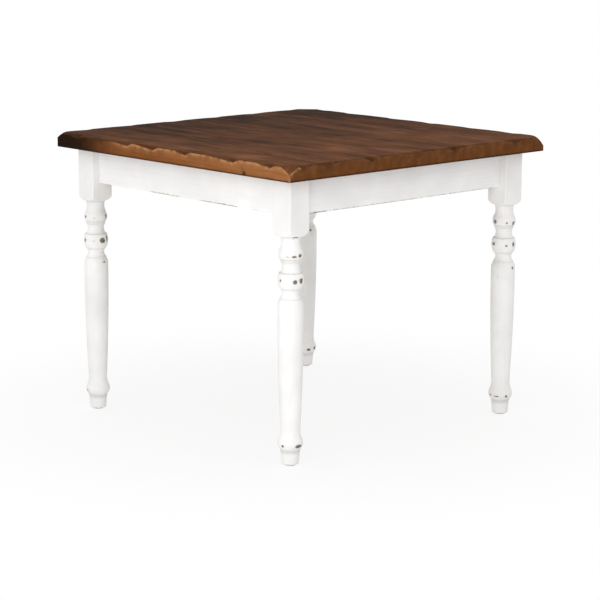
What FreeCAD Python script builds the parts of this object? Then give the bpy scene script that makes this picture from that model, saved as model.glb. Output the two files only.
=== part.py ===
"""A square farmhouse dining table: a thick hewn-edged pine top on a frame of turned legs.

Millimetres. The origin is on the floor under the middle of the top, +Z is up, the boards
of the top run along X and the front of the table faces -Y.
"""
import FreeCAD
import Part
import Sketcher
import math
import os
import re

SIZES = {
    # Whole table
    "table_height": 785,
    "top_length": 950,
    "top_width": 950,
    "top_thickness": 40,
    "overhang": 40,
    # Hewn upper arris of the top: least cut, further cut of a full stroke, knocked-down corners
    "ridge_drop": 3,
    "ridge_inset": 4,
    "stroke_drop": 9,
    "stroke_inset": 10,
    "corner_drop": 23,
    "corner_inset": 28,
    # Square block at the head of each leg, its turned shoulder and its inner chamfer
    "leg_block": 66,
    "block_length": 150,
    "pommel_radius": 49,
    "pommel_rise": 19,
    "pommel_belly_radius": 40,
    "pommel_belly_rise": 6,
    "leg_chamfer": 14,
    # Turnings below the block, from the top down
    "shoulder_radius": 27,
    "neck_radius": 24.3,
    "neck_length": 30,
    "vase_head_radius": 28,
    "vase_radius": 31.9,
    "vase_length": 27,
    "vase_foot_radius": 29,
    "upper_fillet_radius": 26.6,
    "upper_fillet_length": 6,
    "upper_cove_radius": 22.3,
    "upper_cove_length": 29,
    "collar_radius": 28,
    "bead_head_radius": 30,
    "bead_radius": 33.8,
    "bead_length": 41,
    "bead_foot_radius": 27.6,
    "lower_cove_radius": 21.9,
    "lower_cove_length": 24,
    "lower_fillet_radius": 28,
    "lower_fillet_length": 3,
    "shaft_belly_radius": 31.6,
    "shaft_shoulder_length": 15,
    "shaft_radius": 33.2,
    "shaft_length": 70,
    "taper_belly_radius": 30.7,
    "taper_belly_drop": 126,
    # Turnings above the floor, from the foot up
    "foot_tip_radius": 19.4,
    "foot_round_radius": 21.6,
    "foot_round_length": 4,
    "foot_base_radius": 22.2,
    "foot_length": 32,
    "foot_head_radius": 24.8,
    "foot_fillet_radius": 26.2,
    "foot_fillet_length": 4,
    "ring_belly_radius": 32.6,
    "ring_length": 22,
    "ring_head_radius": 32.4,
    "flare_belly_radius": 27.7,
    "flare_length": 27,
    "ankle_radius": 25.4,
    # Aprons, with the groove that the top clips hook into
    "apron_height": 97,
    "apron_thickness": 22,
    "apron_setback": 22,
    "apron_ease": 1.5,
    "groove_drop": 10,
    "groove_width": 4,
    "groove_depth": 9,
    # Corner blocks between the aprons
    "corner_gap": 3,
    "corner_reach": 40,
    "corner_height": 70,
    # Hanger bolts with washers and nuts, two for each leg
    "hanger_diameter": 8,
    "hanger_grip": 40,
    "hanger_tip": 5,
    "hanger_spacing": 36,
    "washer_diameter": 18,
    "washer_thickness": 1.6,
    "nut_flats": 13,
    "nut_height": 6.5,
    # Screws through the corner blocks into the aprons
    "block_screw_diameter": 4.5,
    "block_screw_bite": 15,
    "block_screw_seat": 12,
    "block_screw_spacing": 44,
    "screw_head_diameter": 9,
    "screw_head_height": 3,
    # Dowels between the apron ends and the legs
    "dowel_diameter": 8,
    "dowel_length": 50,
    "dowel_spacing": 66,
    "dowel_ease": 0.8,
    # Clips that hold the top down to the aprons
    "clip_gauge": 2,
    "clip_width": 20,
    "clip_tongue": 8,
    "clip_flange": 22,
    "clip_spacing": 220,
    "clip_screw_diameter": 4,
    "clip_screw_bite": 18,
    # Battens across the underside of the top
    "batten_width": 60,
    "batten_thickness": 22,
    "batten_spacing": 460,
    "batten_end_gap": 6,
    "batten_ease": 3,
    "batten_screw_diameter": 4.5,
    "batten_screw_bite": 22,
    "batten_screw_inset": 20,
    # Nail-on glides under the feet
    "glide_thickness": 3,
    "glide_diameter": 30,
    "glide_ease": 1.2,
    "nail_diameter": 2.6,
    "nail_length": 16,
    # Room around every fastener in its hole
    "bore_clearance": 0.15,
    # How far waste shapes run past the faces that they cut
    "cut_margin": 2,
}

BOARD_COUNT = 6
UNDERSIDE = "table_height - top_thickness"
LEG_X = "0.5*top_length - overhang - 0.5*leg_block"
LEG_Y = "0.5*top_width - overhang - 0.5*leg_block"
APRON_BASE = UNDERSIDE + " - apron_height"
APRON_MIDDLE = UNDERSIDE + " - 0.5*apron_height"
BLOCK_BASE = UNDERSIDE + " - block_length"
APRON_FACE = "apron_setback + apron_thickness - 0.5*leg_block"
BLOCK_NEAR = "1.5*leg_block - leg_chamfer + corner_gap - apron_setback - apron_thickness"
BATTEN_HALF = "0.5*top_width - overhang - apron_setback - apron_thickness - batten_end_gap"
BATTEN_SCREW = "batten_thickness - screw_head_height + batten_screw_bite"

# Hewing strokes along each edge of the top, in shares of half the edge: where the stroke is
# deepest, its bite, and how far it runs in and out. Front and back run along X, the sides along Y.
STROKES = {
    "front": (
        (-0.80, 0.70, 0.10, 0.05),
        (-0.585, 0.60, 0.12, 0.03),
        (-0.35, 0.90, 0.17, 0.035),
        (-0.12, 1.00, 0.16, 0.04),
        (0.157, 1.00, 0.10, 0.035),
        (0.555, 1.00, 0.20, 0.045),
        (0.85, 0.90, 0.12, 0.035),
    ),
    "right": (
        (-0.89, 0.80, 0.06, 0.07),
        (-0.73, 0.95, 0.07, 0.11),
        (-0.395, 1.00, 0.06, 0.06),
        (-0.05, 0.70, 0.09, 0.07),
        (0.25, 0.85, 0.09, 0.09),
        (0.76, 0.80, 0.06, 0.12),
    ),
    "back": (
        (-0.83, 0.70, 0.08, 0.06),
        (-0.60, 0.90, 0.05, 0.14),
        (-0.22, 0.80, 0.04, 0.16),
        (0.12, 1.00, 0.09, 0.05),
        (0.43, 0.70, 0.05, 0.13),
        (0.78, 0.95, 0.12, 0.05),
    ),
    "left": (
        (-0.80, 0.90, 0.09, 0.05),
        (-0.47, 0.75, 0.13, 0.05),
        (-0.15, 1.00, 0.05, 0.12),
        (0.20, 0.80, 0.10, 0.06),
        (0.50, 0.95, 0.06, 0.12),
        (0.84, 0.70, 0.10, 0.05),
    ),
}

# Knocked-down corners of the top: side along X, side along Y, share of the drop and of the inset.
CORNERS = ((1, -1, 1.0, 1.0), (-1, -1, 1.0, 1.2), (1, 1, 1.25, 1.2), (-1, 1, 1.1, 1.0))

# Legs: side along X, side along Y and turn about Z from the front-left leg.
LEGS = {
    "front_left": (-1, -1, 0),
    "front_right": (1, -1, 90),
    "back_right": (1, 1, 180),
    "back_left": (-1, 1, 270),
}

# Sides of the table: size across the side, size along it and turn about Z from the front.
APRONS = {
    "front": ("top_width", "top_length", 0),
    "right": ("top_length", "top_width", 90),
    "back": ("top_width", "top_length", 180),
    "left": ("top_length", "top_width", 270),
}

# Turnings of a leg: radius at the middle of a curved stretch, its length and the radius at its end.
UPPER_TURNINGS = (
    ("neck_radius", "neck_length", "vase_head_radius"),
    ("vase_radius", "vase_length", "vase_foot_radius"),
    (None, None, "upper_fillet_radius"),
    (None, "upper_fillet_length", "upper_fillet_radius"),
    ("upper_cove_radius", "upper_cove_length", "collar_radius"),
    (None, None, "bead_head_radius"),
    ("bead_radius", "bead_length", "bead_foot_radius"),
    ("lower_cove_radius", "lower_cove_length", "lower_fillet_radius"),
    (None, "lower_fillet_length", "lower_fillet_radius"),
    ("shaft_belly_radius", "shaft_shoulder_length", "shaft_radius"),
    (None, "shaft_length", "shaft_radius"),
)
LOWER_TURNINGS = (
    ("foot_round_radius", "foot_round_length", "foot_base_radius"),
    (None, "foot_length", "foot_head_radius"),
    (None, None, "foot_fillet_radius"),
    (None, "foot_fillet_length", "foot_fillet_radius"),
    ("ring_belly_radius", "ring_length", "ring_head_radius"),
    ("flare_belly_radius", "flare_length", "ankle_radius"),
)

document = FreeCAD.newDocument("FarmhouseTable")
sheet = document.addObject("Spreadsheet::Sheet", "Sizes")
for row, (alias, number) in enumerate(SIZES.items(), 1):
    sheet.set(f"A{row}", alias)
    sheet.set(f"B{row}", str(number))
    sheet.setAlias(f"B{row}", alias)
document.recompute()

pieces = []


def measure(terms):
    """Return the number that a sum of sizes, such as 'overhang + 0.5*leg_block', comes to."""
    total = 0.0
    sign = 1
    for term in terms.split():
        if term in ("+", "-"):
            sign = 1 if term == "+" else -1
            continue
        factor, _, name = term.rpartition("*")
        total += sign * float(factor or 1) * float(sheet.get(name))
    return total


def formula(terms):
    """Turn a sum of sizes into an expression on the spreadsheet."""
    return re.sub(r"[a-z]\w*", r"Sizes.\g<0>", terms)


def signed(terms, sign):
    """Return a sum of sizes, or its opposite if the sign is negative."""
    swap = {"+": "-", "-": "+"}
    words = ["+"] + terms.split()
    return " ".join(words if sign > 0 else [swap.get(word, word) for word in words])


def bind(thing, **properties):
    """Bind properties of an object to sums of sizes; two underscores stand for a dot."""
    for name, terms in properties.items():
        thing.setExpression(name.replace("__", "."), formula(terms).removeprefix("+ "))


def turn_about_z(degrees):
    """Return a turn about the vertical."""
    return FreeCAD.Rotation(FreeCAD.Vector(0, 0, 1), degrees)


def aim(direction):
    """Return the turn that points +Z along a direction."""
    return FreeCAD.Rotation(FreeCAD.Vector(0, 0, 1), FreeCAD.Vector(*direction))


def new_body(label):
    """Add an empty body for one piece."""
    body = document.addObject("PartDesign::Body", label)
    body.Label = label
    return body


def spot(pair):
    """Return the sketch point at a pair of sums of sizes, where 0 lies on an axis."""
    across, up = (0.0 if terms == "0" else measure(terms) for terms in pair)
    return FreeCAD.Vector(across, up, 0)


def hold(sketch, index, end, pair):
    """Hold one end of a sketch's line at a pair of sums of sizes."""
    for kind, axis, terms in (("DistanceX", -2, pair[0]), ("DistanceY", -1, pair[1])):
        if terms == "0":
            sketch.addConstraint(Sketcher.Constraint("PointOnObject", index, end, axis))
            continue
        number = sketch.addConstraint(Sketcher.Constraint(kind, index, end, measure(terms)))
        sketch.setExpression(f"Constraints[{number}]", formula(terms))


def draw(sketch, outline):
    """Draw a closed outline of straight lines through its corners."""
    for place, corner in enumerate(outline):
        index = sketch.addGeometry(Part.LineSegment(spot(outline[place - 1]), spot(corner)))
        hold(sketch, index, 2, corner)
    for index in range(len(outline)):
        before = (index - 1) % len(outline)
        sketch.addConstraint(Sketcher.Constraint("Coincident", before, 2, index, 1))


def spin(label, outline):
    """Turn an outline of radii and heights about Z: corners, or an arc's middle and end."""
    upright = FreeCAD.Rotation(FreeCAD.Vector(1, 0, 0), 90)
    edges = []
    for place, entry in enumerate(outline):
        points = [upright.multVec(spot(pair)) for pair in (outline[place - 1][-1], *entry)]
        curve = Part.LineSegment(*points) if len(points) == 2 else Part.Arc(*points)
        edges.append(curve.toShape())
    profile = Part.Face(Part.Wire(edges))
    return shape_object(label, profile.revolve(FreeCAD.Vector(), FreeCAD.Vector(0, 0, 1), 360))


def extrude(body, role, outline, length, lift):
    """Pad an outline drawn on an origin plane of the body, moved along the plane's normal."""
    plane = next(feature for feature in body.Origin.OriginFeatures if feature.Role == role)
    sketch = body.newObject("Sketcher::SketchObject", "Outline")
    sketch.AttachmentSupport = [(plane, "")]
    sketch.MapMode = "FlatFace"
    bind(sketch, AttachmentOffset__Base__z=lift)
    draw(sketch, outline)
    sawn = body.newObject("PartDesign::Pad", "Sawn")
    sawn.Profile = sketch
    bind(sawn, Length=length)
    document.recompute()


def shape_object(label, shape):
    """Add an object whose shape is worked out here from the sizes."""
    thing = document.addObject("Part::Feature", label)
    thing.Label = label
    thing.Shape = shape
    return thing


def cut(label, base, tools):
    """Cut tools from a piece, one after the other, and give the result the piece's label."""
    for tool in tools:
        result = document.addObject("Part::Cut", "Cut")
        result.Base = base
        result.Tool = tool
        base = result
    base.Label = label
    document.recompute()
    return base


def group(label, pattern, places):
    """Add copies of a pattern piece as one group of separate solids."""
    copies = []
    for place in places:
        copy = pattern.Shape.copy()
        copy.Placement = place.multiply(copy.Placement)
        copies.append(copy)
    return shape_object(label, Part.makeCompound(copies))


def bores(label, places, *runs):
    """Add drilled holes along +Z of each place: each run is a diameter, a start and an end."""
    room = measure("bore_clearance")
    holes = []
    for place in places:
        hole = None
        for diameter, start, end in runs:
            run = Part.makeCylinder(0.5 * diameter + room, end - start, FreeCAD.Vector(0, 0, start))
            hole = hole.fuse(run) if hole else run
        hole.Placement = place
        holes.append(hole)
    return shape_object(label, Part.makeCompound(holes))


def leg_place(corner):
    """Return the place of a leg, whose own frame has the table's middle towards +X and +Y."""
    side_x, side_y, turn = LEGS[corner]
    base = FreeCAD.Vector(side_x * measure(LEG_X), side_y * measure(LEG_Y), 0)
    return FreeCAD.Placement(base, turn_about_z(turn))


def bind_leg_place(body, corner):
    """Set a body in the place of a leg."""
    side_x, side_y, turn = LEGS[corner]
    body.Placement = FreeCAD.Placement(FreeCAD.Vector(), turn_about_z(turn))
    bind(body, Placement__Base__x=signed(LEG_X, side_x), Placement__Base__y=signed(LEG_Y, side_y))


def apron_place(side):
    """Return the place of an apron, whose own frame has its outer face on Y = 0, facing -Y."""
    across, _, turn = APRONS[side]
    reach = FreeCAD.Vector(0, -measure(f"0.5*{across} - overhang - apron_setback"), 0)
    return FreeCAD.Placement(turn_about_z(turn).multVec(reach), turn_about_z(turn))


def at(x, y, z, direction):
    """Return the place at a point, with +Z aimed along a direction."""
    return FreeCAD.Placement(FreeCAD.Vector(x, y, z), aim(direction))


# Places of the fasteners: first in a leg's or an apron's own frame, then around the table.
root_half = math.sqrt(0.5)
bolt_start = root_half * measure("leg_block - leg_chamfer") - measure("hanger_grip")
block_face = root_half * measure("leg_block - leg_chamfer + corner_gap + corner_reach")
apron_middle = measure(APRON_MIDDLE)
apron_face = measure(APRON_FACE)
screw_row = measure(BLOCK_NEAR + " + 0.5*corner_reach")
dowel_row = measure("apron_setback + 0.5*apron_thickness - 0.5*leg_block")
dowel_start = measure("0.5*leg_block - 0.5*dowel_length")

hanger_places = []
washer_places = []
nut_places = []
block_screw_places = []
dowel_places = []
nail_places = []
for corner in LEGS:
    leg = leg_place(corner)
    for level in (-0.5, 0.5):
        height = apron_middle + level * measure("hanger_spacing")
        seat = root_half * block_face
        hanger_places.append(leg * at(root_half * bolt_start, root_half * bolt_start, height, (1, 1, 0)))
        washer_places.append(leg * at(seat, seat, height, (1, 1, 0)))
        seat += root_half * measure("washer_thickness")
        nut_places.append(leg * at(seat, seat, height, (1, 1, 0)))
        height = apron_middle + level * measure("block_screw_spacing")
        head = apron_face + measure("block_screw_seat")
        block_screw_places.append(leg * at(screw_row, head, height, (0, -1, 0)))
        block_screw_places.append(leg * at(head, screw_row, height, (-1, 0, 0)))
        height = apron_middle + level * measure("dowel_spacing")
        dowel_places.append(leg * at(dowel_start, dowel_row, height, (1, 0, 0)))
        dowel_places.append(leg * at(dowel_row, dowel_start, height, (0, 1, 0)))
    nail_places.append(leg)

clip_places = []
clip_screw_places = []
for side in APRONS:
    for share in (-0.5, 0.5):
        clip = apron_place(side) * at(share * measure("clip_spacing"), 0, 0, (0, 0, 1))
        clip_places.append(clip)
        row = measure("apron_thickness + 0.5*clip_gauge + 0.5*clip_flange")
        clip_screw_places.append(clip * at(0, row, measure(UNDERSIDE + " - clip_gauge"), (0, 0, 1)))

batten_screw_places = []
last_screw = measure(BATTEN_HALF + " - batten_screw_inset")
screw_seat = measure(UNDERSIDE + " - batten_thickness + screw_head_height")
for share in (-0.5, 0.5):
    for board in range(BOARD_COUNT):
        middle = ((board + 0.5) / BOARD_COUNT - 0.5) * measure("top_width")
        middle = max(-last_screw, min(last_screw, middle))
        batten_screw_places.append(at(share * measure("batten_spacing"), middle, screw_seat, (0, 0, 1)))

# Holes for the fasteners, a little wider than what goes in them.
hanger_length = measure("hanger_grip + washer_thickness + nut_height + hanger_tip")
hanger_length += root_half * measure("corner_gap + corner_reach")
head_bore = measure("screw_head_diameter")
hanger_bores = bores("hanger_bores", hanger_places, (measure("hanger_diameter"), 0, hanger_length))
block_screw_bores = bores(
    "block_screw_bores",
    block_screw_places,
    (measure("block_screw_diameter"), 0, measure("block_screw_seat + block_screw_bite")),
    (head_bore, -measure("corner_reach"), 0),
)
dowel_bores = bores("dowel_bores", dowel_places, (measure("dowel_diameter"), 0, measure("dowel_length")))
nail_bores = bores(
    "nail_bores", nail_places, (measure("nail_diameter"), 0, measure("glide_thickness + nail_length"))
)
clip_screw_bores = bores(
    "clip_screw_bores",
    clip_screw_places,
    (measure("clip_screw_diameter"), 0, measure("clip_gauge + clip_screw_bite")),
)
batten_screw_bores = bores(
    "batten_screw_bores",
    batten_screw_places,
    (measure("batten_screw_diameter"), 0, measure(BATTEN_SCREW)),
    (head_bore, -measure("screw_head_height + cut_margin"), 0),
)


def hewn_wire(corner, inward, drop, inset):
    """Return the section of the waste above a hewn arris: two facets that leave a rounded edge."""
    margin = measure("cut_margin")
    round_share = 1 - root_half
    belly = (round_share * inset, -round_share * drop)
    reach = 1 + margin / (round_share * drop)
    upper = (belly[0] + reach * (inset - belly[0]), belly[1] * (1 - reach))
    reach = 1 + margin / (round_share * inset)
    lower = (belly[0] * (1 - reach), belly[1] - reach * (drop + belly[1]))
    section = [upper, belly, lower, (-margin, margin)]
    points = [corner + inward * across + FreeCAD.Vector(0, 0, up) for across, up in section]
    return Part.makePolygon(points + points[:1])


def hewn_edge(side):
    """Return the waste along one edge of the top, one section at each turn of the strokes."""
    across, along, turn = APRONS[side]
    half = 0.5 * measure(along)
    inward = turn_about_z(turn).multVec(FreeCAD.Vector(0, 1, 0))
    run = FreeCAD.Vector(1, 0, 0) if along == "top_length" else FreeCAD.Vector(0, 1, 0)
    past = 1 + measure("cut_margin") / half
    stations = [(-past, 0)]
    for where, bite, run_in, run_out in STROKES[side]:
        stations += [(where - run_in, 0), (where, bite), (where + run_out, 0)]
    stations.append((past, 0))
    middle = FreeCAD.Vector(0, 0, measure("table_height")) - inward * (0.5 * measure(across))
    wires = []
    for where, bite in stations:
        drop = measure("ridge_drop") + bite * measure("stroke_drop")
        inset = measure("ridge_inset") + bite * measure("stroke_inset")
        wires.append(hewn_wire(middle + run * (where * half), inward, drop, inset))
    return Part.makeLoft(wires, True, True)


def hewn_corner(side_x, side_y, drop_share, inset_share):
    """Return the waste of a knocked-down corner, a wedge square to the corner's diagonal."""
    inward = FreeCAD.Vector(-side_x, -side_y, 0) * root_half
    sideways = FreeCAD.Vector(side_y, -side_x, 0) * root_half
    top = measure("table_height")
    corner = FreeCAD.Vector(side_x * 0.5 * measure("top_length"), side_y * 0.5 * measure("top_width"), top)
    inset = inset_share * measure("corner_inset")
    wire = hewn_wire(corner, inward, drop_share * measure("corner_drop"), inset)
    reach = 2 * inset + 2 * measure("cut_margin")
    wire.translate(sideways * -reach)
    return Part.Face(wire).extrude(sideways * (2 * reach))


# Tabletop boards: planed pine edge-glued into one panel, then hewn along the upper arris.
edge_waste = {side: shape_object(f"waste_{side}", hewn_edge(side)) for side in APRONS}
corner_waste = {}
for side_x, side_y, drop_share, inset_share in CORNERS:
    wedge = hewn_corner(side_x, side_y, drop_share, inset_share)
    corner_waste.setdefault(side_y, []).append(shape_object("waste_corner", wedge))
for board in range(BOARD_COUNT):
    plank = document.addObject("Part::Box", "Plank")
    bind(
        plank,
        Length="top_length",
        Width=f"{1 / BOARD_COUNT}*top_width",
        Height="top_thickness",
        Placement__Base__x="- 0.5*top_length",
        Placement__Base__y=f"{board / BOARD_COUNT - 0.5}*top_width",
        Placement__Base__z=UNDERSIDE,
    )
    tools = [edge_waste["left"], edge_waste["right"], batten_screw_bores]
    if board == 0:
        tools += [edge_waste["front"]] + corner_waste[-1]
    if board == BOARD_COUNT - 1:
        tools += [edge_waste["back"]] + corner_waste[1]
    tools.append(clip_screw_bores)
    pieces.append(cut(f"top_board_{board + 1}", plank, tools))

# Battens: flat bars across the boards, inside the aprons, with eased lower arrises.
for name, side in (("batten_left", -1), ("batten_right", 1)):
    bar = new_body(f"{name}_bar")
    low = UNDERSIDE + " - batten_thickness"
    half = "0.5*batten_width"
    outline = [
        ("- " + half + " + batten_ease", low),
        (half + " - batten_ease", low),
        (half, low + " + batten_ease"),
        (half, UNDERSIDE),
        ("- " + half, UNDERSIDE),
        ("- " + half, low + " + batten_ease"),
    ]
    extrude(bar, "XZ_Plane", outline, f"{BATTEN_HALF} + {BATTEN_HALF}", signed(BATTEN_HALF, -1))
    bind(bar, Placement__Base__x=signed("0.5*batten_spacing", side))
    pieces.append(cut(name, bar, [batten_screw_bores]))

# Aprons: boards on edge between the legs, grooved inside for the top clips.
apron_outline = [
    ("apron_ease", APRON_BASE),
    ("apron_thickness - apron_ease", APRON_BASE),
    ("apron_thickness", APRON_BASE + " + apron_ease"),
    ("apron_thickness", UNDERSIDE + " - groove_drop - groove_width"),
    ("apron_thickness - groove_depth", UNDERSIDE + " - groove_drop - groove_width"),
    ("apron_thickness - groove_depth", UNDERSIDE + " - groove_drop"),
    ("apron_thickness", UNDERSIDE + " - groove_drop"),
    ("apron_thickness", UNDERSIDE),
    ("0", UNDERSIDE),
    ("0", APRON_BASE + " + apron_ease"),
]
for side, (across, along, turn) in APRONS.items():
    rail = new_body(f"apron_{side}_rail")
    half = f"0.5*{along} - overhang - leg_block"
    extrude(rail, "YZ_Plane", apron_outline, f"{half} + {half}", signed(half, -1))
    rail.Placement = apron_place(side)
    document.recompute()
    pieces.append(cut(f"apron_{side}", rail, [dowel_bores, block_screw_bores]))

# Legs: a turned post below a square block, with a chamfer where the corner block draws it in.
height = BLOCK_BASE
leg_outline = [[("0", height + " + pommel_rise")], [("shoulder_radius", height + " + pommel_rise")]]
leg_outline.append([("shoulder_radius", height)])
for belly, length, radius in UPPER_TURNINGS:
    middle = f"{height} - 0.5*{length}"
    height = f"{height} - {length}" if length else height
    leg_outline.append([(belly, middle), (radius, height)] if belly else [(radius, height)])
lower_outline = [[("0", "glide_thickness")], [("foot_tip_radius", "glide_thickness")]]
taper_belly = ("taper_belly_radius", f"{height} - taper_belly_drop")
height = "glide_thickness"
for belly, length, radius in LOWER_TURNINGS:
    middle = f"{height} + 0.5*{length}"
    height = f"{height} + {length}" if length else height
    lower_outline.append([(belly, middle), (radius, height)] if belly else [(radius, height)])
# The lower turnings are listed from the floor up, so their arcs are turned round to run down.
corners_down = [entry[-1] for entry in reversed(lower_outline)]
bellies_down = [entry[:-1] for entry in reversed(lower_outline)]
leg_outline.append([taper_belly, corners_down[0]])
for belly, corner in zip(bellies_down, corners_down[1:]):
    leg_outline.append(belly + [corner])
pommel_belly = ("pommel_belly_radius", BLOCK_BASE + " + pommel_belly_rise")
pommel_outline = [
    [pommel_belly, ("shoulder_radius", BLOCK_BASE)],
    [("pommel_radius", BLOCK_BASE)],
    [("pommel_radius", BLOCK_BASE + " + pommel_rise")],
]
block = document.addObject("Part::Box", "leg_block_blank")
bind(
    block,
    Length="leg_block",
    Width="leg_block",
    Height="block_length",
    Placement__Base__x="- 0.5*leg_block",
    Placement__Base__y="- 0.5*leg_block",
    Placement__Base__z=BLOCK_BASE,
)
post = document.addObject("Part::Fuse", "leg_post")
post.Base = spin("leg_turnings", leg_outline)
post.Tool = block
chamfer = document.addObject("Part::Box", "leg_chamfer_waste")
bind(chamfer, Length="leg_chamfer", Width="4*leg_chamfer", Height="apron_height")
chamfer_middle = root_half * root_half * measure("leg_block - leg_chamfer")
chamfer_shift = root_half * measure("2*leg_chamfer")
chamfer.Placement = FreeCAD.Placement(
    FreeCAD.Vector(chamfer_middle + chamfer_shift, chamfer_middle - chamfer_shift, measure(APRON_BASE)),
    turn_about_z(45),
)
pattern_leg = cut("leg_pattern", post, [spin("pommel_waste", pommel_outline), chamfer])
for corner in LEGS:
    blank = group(f"leg_{corner}_blank", pattern_leg, [leg_place(corner)])
    pieces.append(cut(f"leg_{corner}", blank, [hanger_bores, dowel_bores, nail_bores]))

# Corner blocks: mitred blocks screwed to both aprons, which the hanger bolts pull the legs to.
block_outline = [
    (BLOCK_NEAR, APRON_FACE),
    (BLOCK_NEAR + " + corner_reach", APRON_FACE),
    (APRON_FACE, BLOCK_NEAR + " + corner_reach"),
    (APRON_FACE, BLOCK_NEAR),
]
for corner in LEGS:
    block = new_body(f"corner_block_{corner}_blank")
    extrude(block, "XY_Plane", block_outline, "corner_height", APRON_MIDDLE + " - 0.5*corner_height")
    bind_leg_place(block, corner)
    document.recompute()
    pieces.append(cut(f"corner_block_{corner}", block, [hanger_bores, block_screw_bores]))

# Fasteners: one pattern of each, spun about its axis or cut from bar, then set around the table.
def screw(label, diameter, length):
    """Return a screw along +Z with its head under Z = 0 and a pointed end."""
    shank = f"0.5*{diameter}"
    return spin(
        label,
        [
            [("0", "- screw_head_height")],
            [("0.5*screw_head_diameter", "- screw_head_height")],
            [("0.5*screw_head_diameter", "0")],
            [(shank, "0")],
            [(shank, f"{length} - {diameter}")],
            [("0", length)],
        ],
    )


block_screw = screw("block_screw", "block_screw_diameter", "block_screw_seat + block_screw_bite")
clip_screw = screw("clip_screw", "clip_screw_diameter", "clip_gauge + clip_screw_bite")
batten_screw = screw("batten_screw", "batten_screw_diameter", BATTEN_SCREW)
pieces.append(group("corner_block_screws", block_screw, block_screw_places))
pieces.append(group("top_clip_screws", clip_screw, clip_screw_places))
pieces.append(group("batten_screws", batten_screw, batten_screw_places))

bolt = document.addObject("Part::Cylinder", "hanger_bolt")
bind(bolt, Radius="0.5*hanger_diameter")
bolt.Height = hanger_length
washer_disc = document.addObject("Part::Cylinder", "washer_disc")
bind(washer_disc, Radius="0.5*washer_diameter", Height="washer_thickness")
nut_bar = document.addObject("Part::Prism", "nut_bar")
nut_bar.Polygon = 6
nut_bar.Circumradius = measure("nut_flats") / math.sqrt(3)
bind(nut_bar, Height="nut_height")
bolt_hole = document.addObject("Part::Cylinder", "bolt_hole")
bind(bolt_hole, Radius="0.5*hanger_diameter + bore_clearance", Height="nut_height + washer_thickness")
document.recompute()
washer = cut("washer", washer_disc, [bolt_hole])
nut = cut("nut", nut_bar, [bolt_hole])
pieces.append(group("hanger_bolts", bolt, hanger_places))
pieces.append(group("hanger_washers", washer, washer_places))
pieces.append(group("hanger_nuts", nut, nut_places))

dowel = spin(
    "dowel",
    [
        [("0", "0")],
        [("0.5*dowel_diameter - dowel_ease", "0")],
        [("0.5*dowel_diameter", "dowel_ease")],
        [("0.5*dowel_diameter", "dowel_length - dowel_ease")],
        [("0.5*dowel_diameter - dowel_ease", "dowel_length")],
        [("0", "dowel_length")],
    ],
)
pieces.append(group("apron_dowels", dowel, dowel_places))

# Top clips: pressed steel, hooked under the groove of an apron and screwed up into the top.
clip_blank = new_body("clip_blank")
hook = UNDERSIDE + " - groove_drop"
clip_outline = [
    ("apron_thickness - clip_tongue", hook + " - clip_gauge"),
    ("apron_thickness + clip_gauge", hook + " - clip_gauge"),
    ("apron_thickness + clip_gauge", UNDERSIDE + " - clip_gauge"),
    ("apron_thickness + clip_flange", UNDERSIDE + " - clip_gauge"),
    ("apron_thickness + clip_flange", UNDERSIDE),
    ("apron_thickness", UNDERSIDE),
    ("apron_thickness", hook),
    ("apron_thickness - clip_tongue", hook),
]
extrude(clip_blank, "YZ_Plane", clip_outline, "clip_width", "- 0.5*clip_width")
clips = group("top_clip_blanks", clip_blank, clip_places)
pieces.append(cut("top_clips", clips, [clip_screw_bores]))

# Foot glides: a thin disc with a nail, driven into the underside of each foot.
glide_outline = [
    [("0", "0")],
    [("0.5*glide_diameter - glide_ease", "0")],
    [("0.5*glide_diameter", "glide_ease")],
    [("0.5*glide_diameter", "glide_thickness")],
    [("0.5*nail_diameter", "glide_thickness")],
    [("0.5*nail_diameter", "glide_thickness + nail_length - nail_diameter")],
    [("0", "glide_thickness + nail_length")],
]
glide = spin("glide", glide_outline)
for corner, place in zip(LEGS, nail_places):
    pieces.append(group(f"foot_glide_{corner}", glide, [place]))

document.recompute()
for thing in document.Objects:
    if "Invalid" in thing.State or "Error" in thing.State:
        raise RuntimeError(f"{thing.Label} failed: {thing.getStatusString()}")
for piece in pieces:
    if piece.Shape.isNull() or not piece.Shape.isValid():
        raise RuntimeError(f"{piece.Label} has no valid shape")

os.makedirs("parts", exist_ok=True)
for piece in pieces:
    piece.Shape.exportStep(f"parts/{piece.Label}.step")
    print(piece.Label, len(piece.Shape.Solids), round(piece.Shape.Volume / 1000, 1))
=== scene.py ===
"""Looks of a square farmhouse dining table: a hewn, dark-stained pine top on a distressed white frame.

Metres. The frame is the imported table: origin on the floor under the middle of the top, +Z up,
the boards of the top along X and the front of the table facing -Y.
"""
import math
import random

import bmesh
import bpy
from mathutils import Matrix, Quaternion, Vector, noise


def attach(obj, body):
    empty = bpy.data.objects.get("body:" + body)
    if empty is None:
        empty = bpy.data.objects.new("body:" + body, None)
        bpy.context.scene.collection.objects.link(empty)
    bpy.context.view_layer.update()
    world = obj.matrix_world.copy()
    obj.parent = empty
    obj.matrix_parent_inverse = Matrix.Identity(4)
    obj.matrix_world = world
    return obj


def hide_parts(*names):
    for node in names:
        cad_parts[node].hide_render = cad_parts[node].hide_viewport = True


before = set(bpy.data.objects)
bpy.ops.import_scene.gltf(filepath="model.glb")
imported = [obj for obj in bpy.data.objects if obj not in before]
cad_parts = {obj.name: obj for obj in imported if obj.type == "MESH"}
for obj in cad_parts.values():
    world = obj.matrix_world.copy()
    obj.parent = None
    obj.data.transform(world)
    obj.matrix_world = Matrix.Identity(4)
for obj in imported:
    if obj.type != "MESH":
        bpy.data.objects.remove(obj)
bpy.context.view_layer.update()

# Legs: pine posts, square at the head and turned below it, brushed with chalky white paint.
# The paint is rubbed through on the proud turnings. Each is bolted to a corner block.
LEG_CENTRE = 0.402
LEG_BLOCK = 0.066
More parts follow.
